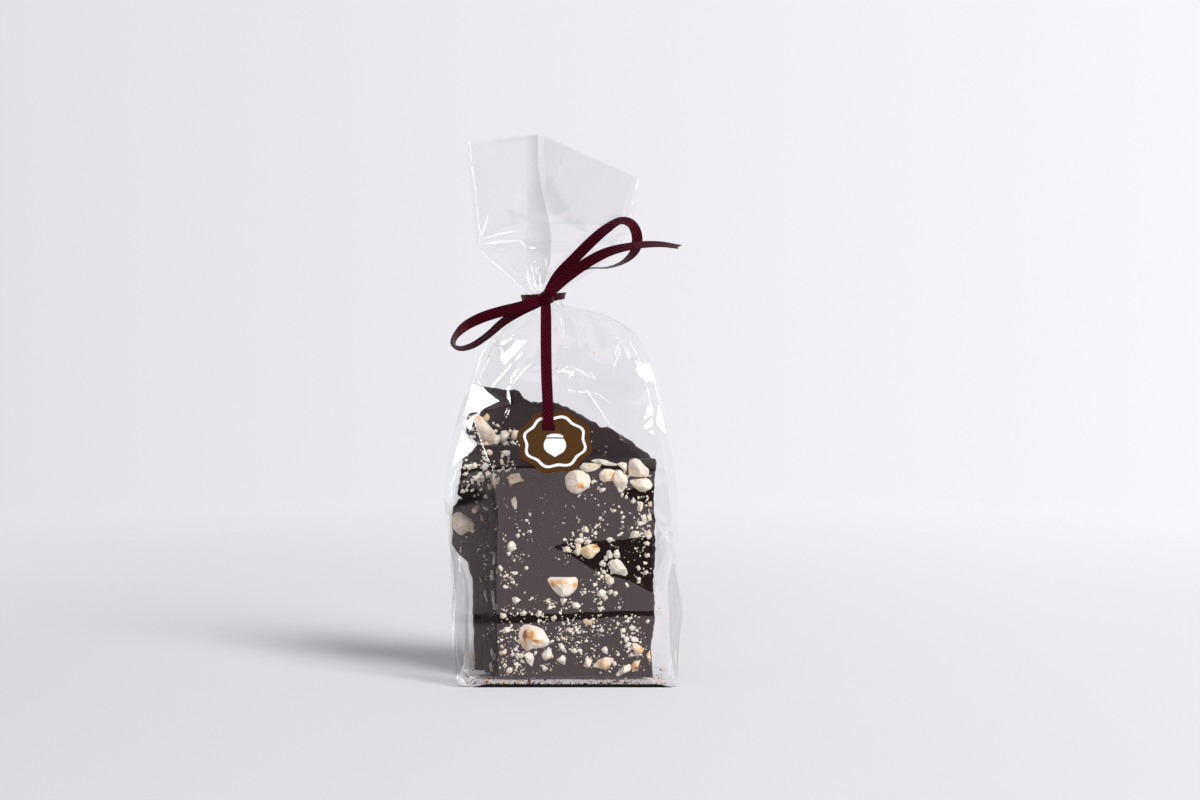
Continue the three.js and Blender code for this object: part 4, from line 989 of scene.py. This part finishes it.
    (-4, 2.4, 0.20, [(-40.6, 7.4), (-39.6, 9.5), (-38.6, 6.9), (-38.6, 3.8), (-40.1, 4.3)]),
    (10, 2.4, 0.45, [(-50, 10.4), (-49, 11.5), (-49, 7.8), (-48, 6.2), (-49.5, 6.8)]),
    (-4, 1.8, 0.14, [(-34.8, 72.8), (-34.3, 69.7), (-34.8, 67.6), (-35.4, 69.7)]),
    (3, 1.8, 0.14, [(-36.6, 75.6), (-36.1, 73), (-36.7, 69.9), (-37.2, 73)]),
]
# Roasted patches: x, z, half width, half height and how much deeper the toast is.
ROAST_PATCHES = [
    (6.6, 100.6, 2.5, 1.5, 0.5), (7.6, 99.5, 1, 0.6, 0.45), (0, 99, 1.5, 1.5, 0.3),
    (22.8, 103.1, 1.2, 3, 0.2), (31.5, 108.2, 0.9, 3, 0.2), (14.2, 69, 2.5, 1, 0.4),
    (12.2, 66.4, 1.5, 1.5, 0.1), (-8, 50.2, 3, 1.8, 0.55), (-4.6, 51.6, 2, 1.2, 0.45),
    (-1, 51.1, 1, 1.7, 0.5), (3.5, 50.2, 1.3, 3.2, 0.52), (-22.1, 24, 0.9, 2.8, 0.95),
    (-19.4, 24.5, 3.6, 3, 0.62), (-15.6, 21.4, 2.4, 1.1, 0.72), (-21.8, 19.4, 1.6, 2.4, 0.42),
    (37.1, 16.3, 1.5, 2, 0.3), (19.3, 7.6, 2.5, 1, 0.25), (35.1, 7.1, 0.8, 0.8, 0.7),
    (-28.9, 100.6, 1, 1, 0.55), (-22.8, 102.6, 1.5, 0.8, 0.3), (21.8, 54.2, 1, 0.5, 0.3),
    (43.1, 100.1, 0.5, 1.5, 0.2), (-41.5, 134.6, 1.5, 2, 0.2), (-45.6, 133.6, 1.5, 2.5, 0.12),
]
NUT_ANGLES = 48
NUT_SUNK = 1.2


def nut_block(face_y, rise, outline, dice):
    """A broken nut as rings about its middle: its height is the least of a nearly level plane and four
    steep ones, rounded off at the outline and roughened, then straight down into the chocolate."""
    centre = np.mean(outline, axis=0)
    angles = np.linspace(-np.pi, np.pi, NUT_ANGLES, False)
    reach = outline_reach(outline, centre, angles)
    share = np.concatenate([[0.04], np.linspace(0.14, 0.86, 8), [0.94, 1.0, 0.96]])[:, None]
    u, v = share * reach * np.cos(angles), share * reach * np.sin(angles)
    size = reach.mean()
    height = 1 + 0.18 * (u * dice.uniform(-1, 1) + v * dice.uniform(-1, 1)) / size
    for k in range(4):
        way = (k + dice.uniform(0.1, 0.9)) * np.pi / 2
        top, fall = dice.uniform(1.0, 1.25), dice.uniform(0.5, 1.1)
        height = np.minimum(height, top - fall * (u * np.cos(way) + v * np.sin(way)) / size)
    height = rise * np.clip(height, 0.2, None) * (0.3 + 0.7 * np.sqrt(np.clip(1 - share ** 5, 0, 1)))
    x, z = centre[0] + u, centre[1] + v
    height = height + 0.17 * ripple(x, z, int(dice.integers(1e6)), 8, 0.9, 3.2)
    height[-1] = -NUT_SUNK
    rings = np.stack([x, face_y - height, z], -1)
    return ring_solid(rings, centre, rings[0, :, 1].mean(), face_y + NUT_SUNK)


dice = np.random.default_rng(23)
pieces = [nut_block(face_y, rise, outline, dice) for face_y, rise, _, outline in NUT_PIECES]
points, faces = joined(pieces)
toast_value = np.repeat([toast for _, _, toast, _ in NUT_PIECES], [len(block) for block, _ in pieces])
for at_x, at_z, half_x, half_z, deeper in ROAST_PATCHES:
    away = ((points[:, 0] - at_x) / half_x) ** 2 + ((points[:, 2] - at_z) / half_z) ** 2
    toast_value = toast_value + deeper * np.exp(-away ** 1.5)
mesh_object("hazelnut_pieces", points, faces, nut_material, "hazelnut", {"toast": toast_value})


CHIP_SWELL = 0.14
CHIP_CUT_DEPTH = (0.36, 0.78)


def ball(subdivisions):
    """Points and triangles of a unit ball made of near-equal triangles."""
    builder = bmesh.new()
    bmesh.ops.create_icosphere(builder, subdivisions=subdivisions, radius=1.0)
    points = np.array([v.co[:] for v in builder.verts])
    faces = np.array([[v.index for v in f.verts] for f in builder.faces])
    builder.free()
    return points, faces


def unit_rows(dice, *shape):
    """Random unit vectors of the given leading shape."""
    rows = dice.normal(size=(*shape, 3))
    return rows / np.linalg.norm(rows, axis=-1, keepdims=True)


def chips(middles, sizes, turns, cuts, seed, subdivisions):
    """Chipped lumps, one for each middle: a ball swollen by low random waves, pressed flat against random
    planes that cut in to a share of its radius, stretched to its size and turned in the face plane."""
    dice = np.random.default_rng(seed)
    base, faces = ball(subdivisions)
    count = len(middles)
    forms = np.repeat(base[None], count, 0)
    for _ in range(4):
        way = unit_rows(dice, count) * dice.uniform(1.5, 4, (count, 1))
        wave = np.einsum("nvk,nk->nv", forms, way) + dice.uniform(0, 6, (count, 1))
        forms = forms * (1 + CHIP_SWELL * np.sin(wave))[..., None]
    for _ in range(cuts):
        normal = unit_rows(dice, count)
        reach = dice.uniform(*CHIP_CUT_DEPTH, (count, 1))
        over = np.clip(np.einsum("nvk,nk->nv", forms, normal) - reach, 0, None)
        forms = forms - over[..., None] * normal[:, None, :]
    span = forms.max(1) - forms.min(1)
    forms = (forms - (forms.max(1) + forms.min(1))[:, None] / 2) / span[:, None]
    x, y, z = np.moveaxis(forms * sizes[:, None, :], -1, 0)
    c, s = np.cos(turns)[:, None], np.sin(turns)[:, None]
    forms = np.stack([x * c - z * s, y, x * s + z * c], -1)
    points = (forms + middles[:, None, :]).reshape(-1, 3)
    all_faces = (faces[None] + np.arange(count)[:, None, None] * len(base)).reshape(-1, 3)
    return points, all_faces


# ---- Chopped hazelnut bits ------------------------------------------------------------------------
# The fine end of the chopped nuts, from grains of a quarter of a millimetre to bits of three or four,
# strewn over the poured chocolate. They lie thickest low on the front slab and along its right edge,
# and thinly at its upper left.

# Strewn groups: face y, middle x and z, spread in x and z, how many, and their median size.
BIT_GROUPS = [
    (-11, 2.9, 19, 22, 9, 380, 0.72), (-11, -26.2, 19.9, 6, 10, 130, 0.72),
    (-11, -24.2, 8.9, 6, 4, 70, 0.9), (-11, 8, 29, 10, 5, 90, 0.9),
    (-11, 36.1, 79.3, 3.6, 11, 80, 1.15), (-11, 30.1, 91.3, 8, 7, 40, 0.9),
    (-11, 8, 71.5, 7, 4, 70, 1), (-11, 20, 53.1, 3, 5, 50, 1.2), (-11, -29, 57.2, 3.5, 7, 75, 0.8),
    (-11, -24.2, 75.3, 6, 7, 36, 0.8), (-11, 38.1, 61.2, 3, 8, 40, 1),
    (-11, 1.9, 59.2, 26, 26, 150, 0.55), (-11, 22, 79.3, 13, 13, 80, 0.75),
    (-11, 2, 41.1, 14, 4, 60, 1.1), (-11, 34.1, 21, 5, 9, 100, 1),
    (-11, 24, 103.4, 13, 4, 50, 0.8), (-11, -8.1, 87.3, 20, 8, 24, 0.5),
    (-4, -46, 103.5, 5.5, 8.5, 120, 1.3), (-4, -35.2, 107.5, 5, 6, 70, 1),
    (3, -36.2, 123.7, 7, 4.5, 85, 1.2), (3, -25.1, 122.7, 5, 4, 70, 1.1), (3, -47.2, 121.7, 3, 4, 40, 1),
    (3, 10, 120.2, 18, 6, 30, 0.6), (-4, -37.9, 44.3, 1.3, 25, 60, 0.9),
    (3, -42.2, 44.4, 1.3, 25, 50, 0.8), (10, -50.8, 70.5, 4, 9, 16, 0.7),
]
BIT_SHARE = 1.25
CLUMP_SIZE = 5
CLUMP_SPREAD = 1.5
dice = np.random.default_rng(12)
middles, sizes = [], []
slab_of = {front: (centre, outline) for front, centre, outline in SLABS.values()}
for face_y, mid_x, mid_z, spread_x, spread_z, count, median in BIT_GROUPS:
    count = int(BIT_SHARE * count)
    clumps = dice.normal((mid_x, mid_z), (spread_x, spread_z), (count // CLUMP_SIZE + 1, 2))
    place = clumps[dice.integers(0, len(clumps), count)] + dice.normal(0, CLUMP_SPREAD, (count, 2))
    size = np.clip(0.8 * median * np.exp(dice.normal(0, 0.55, count)), 0.28, 3.2)
    centre, outline = slab_of[face_y]
    offset = place - np.array(centre)
    limit = outline_reach(outline, centre, np.arctan2(offset[:, 1], offset[:, 0])) - 0.8
    keep = np.hypot(*offset.T) < limit
    place, size = place[keep], size[keep]
    middles.append(np.stack([place[:, 0], face_y - 0.12 * size, place[:, 1]], -1))
    sizes.append(size[:, None] * dice.uniform((0.8, 0.6, 0.7), (1.3, 0.8, 1.1), (len(size), 3)))
middles, sizes = np.concatenate(middles), np.concatenate(sizes)
coarse = sizes[:, 0] >= 1.3
for kind, chosen, detail in (("hazelnut_bits", coarse, 2), ("hazelnut_grains", ~coarse, 1)):
    some = int(chosen.sum())
    turns = dice.uniform(0, 6.28, some)
    points, faces = chips(middles[chosen], sizes[chosen], turns, 3, 31 + detail, detail)
    value = np.repeat(np.clip(dice.normal(0.03, 0.08, some), 0, 0.7), len(points) // some)
    mesh_object(kind, points, faces, nut_material, "hazelnut", {"toast": value}, smooth=False)

# ---- Crumbs ---------------------------------------------------------------------------------------
# Dust and crumbs of bark and nut that fell to the bottom of the bag, and a few specks that cling to
# the inside of the film.
CRUMB_COUNT = 420
CRUMB_FLOOR = 1.2
SPECK_X, SPECK_Z = np.array([
    (-2.3, 190.9), (13.2, 167.8), (-40.1, 165.8), (-38, 165.8), (-5.4, 160.3), (11.2, 145.2), (-3.3, 263.5),
    (46, 40), (50, 25), (48, 60)]).T
dice = np.random.default_rng(44)
crumb_x = dice.uniform(-52, 50, CRUMB_COUNT)
crumb_y = -27.6 + 46 * dice.uniform(0, 1, CRUMB_COUNT) ** 2.2
floor_crumbs = np.stack([crumb_x, crumb_y, np.full(CRUMB_COUNT, CRUMB_FLOOR)], -1)
specks = np.stack([SPECK_X, film_y(SPECK_X, SPECK_Z, (FRONT,)) + 0.5, SPECK_Z], -1)
for kind, share, material, slot in (("nut_crumbs", 0.45, nut_material, "hazelnut"),
                                    ("chocolate_crumbs", 0.55, chocolate_material, "chocolate")):
    number = int(CRUMB_COUNT * share)
    chosen = floor_crumbs[:number] if kind == "nut_crumbs" else floor_crumbs[-number:]
    size = 0.7 * np.exp(dice.normal(0, 0.4, number))
    middles = chosen + np.array([0, 0, 0.3]) * size[:, None]
    if kind == "nut_crumbs":
        middles = np.concatenate([middles, specks])
        size = np.concatenate([size, dice.uniform(0.5, 0.9, len(specks))])
    turns = dice.uniform(0, 6.28, len(size))
    points, faces = chips(middles, size[:, None] * np.array([1.1, 1.0, 0.8]), turns, 2, 51, 1)
    value = np.repeat(np.clip(dice.normal(0.5, 0.22, len(size)), 0, 0.9), len(points) // len(size))
    mesh_object(kind, points, faces, material, slot, {"toast": value})

# ---- Ribbon ---------------------------------------------------------------------------------------
# Burgundy satin ribbon, 6 mm as sold, woven with a flat edge. One length is wound round the neck and
# tied in a bow with two loops and a free tail; the other end hangs in front and goes through the tag.
RIBBON_WIDTH = 5.5
RIBBON_THICKNESS = 0.42
# Painted shade and highlights: how bright the satin is painted in each run, darker on the loops, wrap and
# knot, and the painted glints where a run bends: x, z, reach in mm and gain.
SATIN_PAINTED_SHADE = {"right_loop": 0.42, "right_tail": 0.55, "left_loop": 0.42, "strand": 1, "wrap": 0.45,
               "knot": 0.42}
SATIN_PAINTED_GLINTS = [(33.5, 229, 4, 2.6), (-55.5, 174.5, 5, 2.4), (-8, 200.5, 3.5, 1.4), (-17, 194, 3, 0.9)]
# The middle line of each run: x, y, z and how far its wide side is turned from flat on, in degrees.
RIBBON_PLACES = {
    "right_loop": [
        [-11, -13, 196, 0], [-4.9, -15, 206.5, 8], [3.7, -17.5, 215.5, 8], [11.7, -19, 223.5, 12],
        [19.3, -19, 230, 28], [26.3, -17, 234.1, 48], [31.4, -14.5, 233, 34], [34.3, -12, 229, 14],
        [35, -9.5, 223.8, 10], [33.5, -7.4, 218.6, 38], [28, -6.8, 213.6, 66], [20.4, -7.2, 210.8, 82],
        [10.4, -9, 210.2, 84], [0.1, -11, 205.8, 60], [-11, -12, 196, 30]],
    "right_tail": [
        [-11.5, -13.5, 196, 0], [-0.9, -17.2, 205.5, 6], [11.2, -20.4, 214, 10], [20.3, -21.8, 218.5, 28],
        [29.8, -22, 221, 44], [38.3, -21.5, 222.2, 50], [47.3, -20, 222.3, 58], [55.4, -18, 221.2, 66]],
    "left_loop": [
        [-11, -13, 195.6, 0], [-24.1, -16, 190.9, -4], [-32.5, -18, 188.9, -4], [-43.1, -19, 185.6, -10],
        [-51.9, -18, 181, -30], [-57, -15, 175.6, -58], [-57.6, -12, 171.8, -64],
        [-54.7, -10.2, 169.9, -60], [-48.7, -9.6, 171.2, -54], [-40.5, -9.6, 176.6, -50],
        [-32.8, -10.5, 183.2, -40], [-24.2, -11.5, 188.8, -24], [-11, -12.5, 195, 0]],
    "strand": [
        [-11.2, -13, 195.5, 0], [-11, -15, 186.8, 0], [-10.9, -19.3, 171.8, 0], [-10.6, -22.9, 156.9, 0],
        [-10, -26, 144.5, 0], [-9.8, -27.7, 138, 0], [-9.6, -28.4, 133.8, 0], [-9.5, -28.45, 132.2, 0],
        [-9.5, -27.65, 130.5, 0], [-9.5, -26.85, 129.2, 0], [-9.5, -26.7, 127.5, 0],
        [-9.5, -26.9, 124.5, 0]],
}


def smooth_run(places, steps):
    """A smooth curve through the places, at even shares of each span: a cubic from place to place whose
    slope at each weighs the two spans beside it by the square roots of their lengths."""
    p = np.array(places, float)
    p = np.concatenate([[2 * p[0] - p[1]], p, [2 * p[-1] - p[-2]]])
    gap = np.maximum(np.linalg.norm(np.diff(p[:, :3], axis=0), axis=1), 1e-4) ** 0.5
    t = np.linspace(0, len(places) - 1, steps)
    i = np.minimum(t.astype(int), len(places) - 2)
    t = (t - i)[:, None]
    p0, p1, p2, p3 = p[i], p[i + 1], p[i + 2], p[i + 3]
    d0, d1, d2 = gap[i][:, None], gap[i + 1][:, None], gap[i + 2][:, None]
    m1 = ((p1 - p0) / d0 - (p2 - p0) / (d0 + d1) + (p2 - p1) / d1) * d1
    m2 = ((p2 - p1) / d1 - (p3 - p1) / (d1 + d2) + (p3 - p2) / d2) * d1
    return p1 + m1 * t + (-3 * p1 + 3 * p2 - 2 * m1 - m2) * t ** 2 + (2 * p1 - 2 * p2 + m1 + m2) * t ** 3


def ribbon_strip(middle, across, width, thickness=RIBBON_THICKNESS, tip=0.0, columns=12, cup=0.0):
    """A thin closed strip carried along the middle line, with its wide side along `across`: rounded
    rims, a hollow `cup` mm deep across it, and the last row slanted by `tip` for a cut end."""
    along = np.gradient(middle, axis=0)
    along /= np.linalg.norm(along, axis=1, keepdims=True)
    across = across - np.sum(across * along, 1, keepdims=True) * along
    across /= np.linalg.norm(across, axis=1, keepdims=True)
    out = np.cross(along, across)
    s = np.linspace(-1, 1, columns)
    rim = np.sqrt(np.clip(1 - np.abs(s) ** 14, 0, 1))
    side = np.concatenate([s, s[::-1]])
    face = np.concatenate([-rim, rim[::-1]]) * thickness / 2
    lift = face + cup * (side ** 2 - 0.4)
    width = np.broadcast_to(np.asarray(width, float), (len(middle),))
    points = (middle[:, None] + across[:, None] * (side[None, :, None] * width[:, None, None] / 2)
              + out[:, None] * lift[None, :, None])
    points[-1] += along[-1] * (side * tip)[:, None]
    length = np.concatenate([[0], np.cumsum(np.linalg.norm(np.diff(middle, axis=0), axis=1))])
    uv = np.stack([np.broadcast_to(side * 0.5 + 0.5, points.shape[:2]),
                   np.broadcast_to(length[:, None] / RIBBON_WIDTH, points.shape[:2])], -1)
    rows, ring_size = points.shape[:2]
    ring = np.arange(rows * ring_size).reshape(rows, ring_size)
    after = np.roll(ring, -1, 1)
    faces = [np.stack([ring[:-1], after[:-1], after[1:], ring[1:]], -1).reshape(-1, 4)]
    for end, order in ((ring[0], 1), (ring[-1], -1)):
        front, back = end[:columns], end[columns:][::-1]
        cap = np.stack([front[:-1], front[1:], back[1:], back[:-1]], -1)
        faces.append(cap[:, ::-1] if order == 1 else cap)
    return points.reshape(-1, 3), np.concatenate(faces), uv.reshape(-1, 2)


satin_material, add = node_material("burgundy_satin")
uv = add("ShaderNodeTexCoord").outputs["UV"]
twill = add("ShaderNodeVectorMath", {0: uv, 1: (17, 17, 0)}, operation="DOT_PRODUCT")
threads = add("ShaderNodeMath", {0: twill.outputs["Value"]}, operation="SINE")
bump = add("ShaderNodeBump", {"Strength": 0.8, "Distance": 0.00016, "Height": threads.outputs[0]})
# The tone attribute paints shade and highlights into the satin's colour: it scales how bright the threads are
# painted.
tone = add("ShaderNodeAttribute", attribute_name="tone").outputs["Fac"]
lit = add("ShaderNodeMapRange", {"Value": threads.outputs[0], "From Min": -1.0, "From Max": 1.0,
                                 "To Min": 0.0, "To Max": tone})
tint = add("ShaderNodeMix", {0: lit.outputs[0], 6: (0.0016, 0.0001, 0.0003, 1),
                             7: (0.058, 0.0026, 0.0084, 1)}, data_type="RGBA")
body = add("ShaderNodeBsdfPrincipled", {"Base Color": tint.outputs[2], "Roughness": 0.34,
                                        "Specular IOR Level": 0.30, "Specular Tint": (1.0, 0.08, 0.20, 1),
                                        "Normal": bump.outputs[0]})
add("ShaderNodeOutputMaterial", {"Surface": body.outputs[0]})

strips = []
for name, places in RIBBON_PLACES.items():
    run = smooth_run(places, 30 * len(places))
    middle, turn = run[:, :3], np.radians(run[:, 3:4])
    along = np.gradient(middle, axis=0)
    level_across = np.stack([-along[:, 2], np.zeros(len(run)), along[:, 0]], -1)
    level_across /= np.linalg.norm(level_across, axis=1, keepdims=True)
    across = np.cos(turn) * level_across + np.sin(turn) * np.array([0, 1.0, 0])
    squeeze = 1 - 0.25 * np.exp(-np.linalg.norm(middle - middle[0], axis=1) / 4)
    tip = RIBBON_WIDTH / 2 if name == "right_tail" else 0.0
    strips.append(ribbon_strip(middle, across, RIBBON_WIDTH * squeeze, tip=tip, cup=0.12))

# The wrap: two turns of the ribbon pulled tight round the film, bunched to about 4 mm.
WRAP_X, WRAP_Z = -12.6, 195.4
WRAP_HALF_X, WRAP_HALF_Y = 10.9, 9.4
WRAP_LEAN = 0.25
turn = np.linspace(0, 2 * np.pi, 181)
wrap_middle = np.stack([WRAP_X + WRAP_HALF_X * np.cos(turn), WRAP_HALF_Y * np.sin(turn),
                        WRAP_Z + 0.9 * np.cos(turn) + 0.15 * np.sin(7 * turn)], -1)
wrap_width = 4.0 + 0.5 * np.cos(turn + np.pi) + 0.3 * np.sin(5 * turn)
upright = np.stack([WRAP_LEAN * np.cos(turn), WRAP_LEAN * np.sin(turn), np.ones(len(turn))], -1)
strips.append(ribbon_strip(wrap_middle, -upright, wrap_width, thickness=0.6, cup=-0.25))

# The knot: one turn of ribbon pulled over the crossing, a squarish pillow with folds along it.
KNOT_MIDDLE = np.array([-11, -12.1, 195.4])
KNOT_HALF = np.array([3.9, 2.9, 3.6])
KNOT_LEAN = 0.35
knot_points, knot_faces = ball(5)
across, _, up = knot_points.T
folds = 1 + 0.05 * np.sin(6 * across + 1.2 * up) + 0.03 * np.sin(13 * across)
x, y, z = (np.sign(knot_points) * np.abs(knot_points) ** 0.72 * KNOT_HALF * folds[:, None]).T
c, s = math.cos(KNOT_LEAN), math.sin(KNOT_LEAN)
knot = np.stack([x * c - z * s, y, x * s + z * c], -1) + KNOT_MIDDLE

points, faces = joined([strip[:2] for strip in strips])
uvs = np.concatenate([strip[2] for strip in strips])
counts = [len(strip[0]) for strip in strips]
satin_painted_light = np.repeat([SATIN_PAINTED_SHADE[name] for name in (*RIBBON_PLACES, "wrap")], counts)
# Painted highlights: the satin's colour is raised round each bend.
for at_x, at_z, reach, gain in SATIN_PAINTED_GLINTS:
    away = np.hypot(points[:, 0] - at_x, points[:, 2] - at_z)
    satin_painted_light = satin_painted_light * (1 + gain * np.exp(-(away / reach) ** 2 / 2))
ribbon = mesh_object("ribbon_satin", points, faces, satin_material, "satin", {"tone": satin_painted_light}, uv=uvs)
knot_uv = np.stack([across * 0.4 + 0.5, up * 0.6], -1)
# The knot is painted in the same shade as the loops.
knot_painted_shade = np.full(len(knot), SATIN_PAINTED_SHADE["knot"])
mesh_object("ribbon_knot", knot, knot_faces, satin_material, "satin", {"tone": knot_painted_shade}, uv=knot_uv)
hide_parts("ribbon")

# ---- Tag ------------------------------------------------------------------------------------------
# A brown card tag with eight lobes, die-cut, threaded on the hanging ribbon. It is printed in white
# with a wavy line inside its rim and a plain hazelnut.
card_material, add = node_material("brown_card")
place = add("ShaderNodeTexCoord").outputs["Object"]
fibre = add("ShaderNodeTexNoise", {"Vector": place, "Scale": 700.0, "Detail": 3.0})
tint = add("ShaderNodeMix", {0: fibre.outputs["Fac"], 6: (0.056, 0.024, 0.0058, 1),
                             7: (0.074, 0.032, 0.0080, 1)}, data_type="RGBA")
body = add("ShaderNodeBsdfPrincipled", {"Base Color": tint.outputs[2], "Roughness": 0.7,
                                        "Specular IOR Level": 0.15})
add("ShaderNodeOutputMaterial", {"Surface": body.outputs[0]})
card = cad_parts["tag"]
card.data.materials.clear()
card.data.materials.append(card_material)

ink_material, add = node_material("white_ink")
body = add("ShaderNodeBsdfPrincipled", {"Base Color": (0.86, 0.86, 0.86, 1), "Roughness": 0.5})
add("ShaderNodeOutputMaterial", {"Surface": body.outputs[0]})
TAG_CENTRE = np.array([-6.3, -28.2, 123.6])
TAG_LEAN = math.radians(7.4)
TAG_THICKNESS = 0.6
INK_HEIGHT = 0.04


def on_tag(u, v, height):
    """Points of the card's front face: u to the right and v up it, raised by height off the face."""
    out = TAG_THICKNESS + height
    return np.stack([TAG_CENTRE[0] + u, TAG_CENTRE[1] + v * math.sin(TAG_LEAN) - out * math.cos(TAG_LEAN),
                     TAG_CENTRE[2] + v * math.cos(TAG_LEAN) + out * math.sin(TAG_LEAN)], -1)


def ink_band(inner, outer):
    """A flat closed printed band between two outlines of (u, v) points, with its thin edges."""
    count = len(inner)
    rings = np.concatenate([on_tag(*outer.T, 0.0), on_tag(*outer.T, INK_HEIGHT), on_tag(*inner.T, INK_HEIGHT),
                            on_tag(*inner.T, 0.0)])
    ring = np.arange(4 * count).reshape(4, count)
    after = np.roll(ring, -1, 1)
    faces = [np.stack([ring[k], after[k], after[(k + 1) % 4], ring[(k + 1) % 4]], -1) for k in range(4)]
    return rings, np.concatenate(faces)


# The wavy line inside the rim: eight lobes, 1.4 mm wide.
LOBE_COUNT = 8
LOBE_TURN_DEG = 28.6
LINE_HALF_ACROSS, LINE_HALF_UP = 15.7, 12.9
LINE_HALF_WIDTH = 0.7
angle = np.linspace(0, 2 * np.pi, 360, False)
lobes = 1 - 0.05 * (1 - np.cos(LOBE_COUNT * (angle - math.radians(LOBE_TURN_DEG))))
line = np.stack([LINE_HALF_ACROSS * lobes * np.cos(angle), LINE_HALF_UP * lobes * np.sin(angle)], -1)
outwards = LINE_HALF_WIDTH * line / np.linalg.norm(line, axis=1, keepdims=True)
band = ink_band(line - outwards, line + outwards)

# The hazelnut: a broad round body with a small point below, and its low cap above a narrow gap.
MOTIF_SCALE = 0.86
MOTIF_SHIFT = np.array([0.0, -1.0])
HOLE_SHARE = 0.02
turn = np.linspace(0, 2 * np.pi, 120, False)
tip = 1.1 * np.exp(-((turn - 1.5 * np.pi) / 0.22) ** 2)
body_high = np.clip(np.sin(turn), None, 0.62)
nut_outline = np.stack([6.5 * np.cos(turn) * (1 - 0.05 * np.sin(turn)), 5.9 * body_high - tip - 0.6], -1)
lens = np.linspace(-1, 1, 60)
cap_outline = np.concatenate([np.stack([5.0 * lens, 3.8 + 2.1 * np.sqrt(1 - lens ** 2) ** 0.9], -1),
                              np.stack([5.0 * lens[::-1][1:-1], np.full(58, 3.8)], -1)])
prints = [band]
for outline in (nut_outline * MOTIF_SCALE, cap_outline * MOTIF_SCALE):
    outline = outline + MOTIF_SHIFT
    centre = outline.mean(0)
    prints.append(ink_band(centre + (outline - centre) * HOLE_SHARE, outline))
points, faces = joined(prints)
mesh_object("tag_print", points, faces[:, ::-1], ink_material, "card", smooth=False)
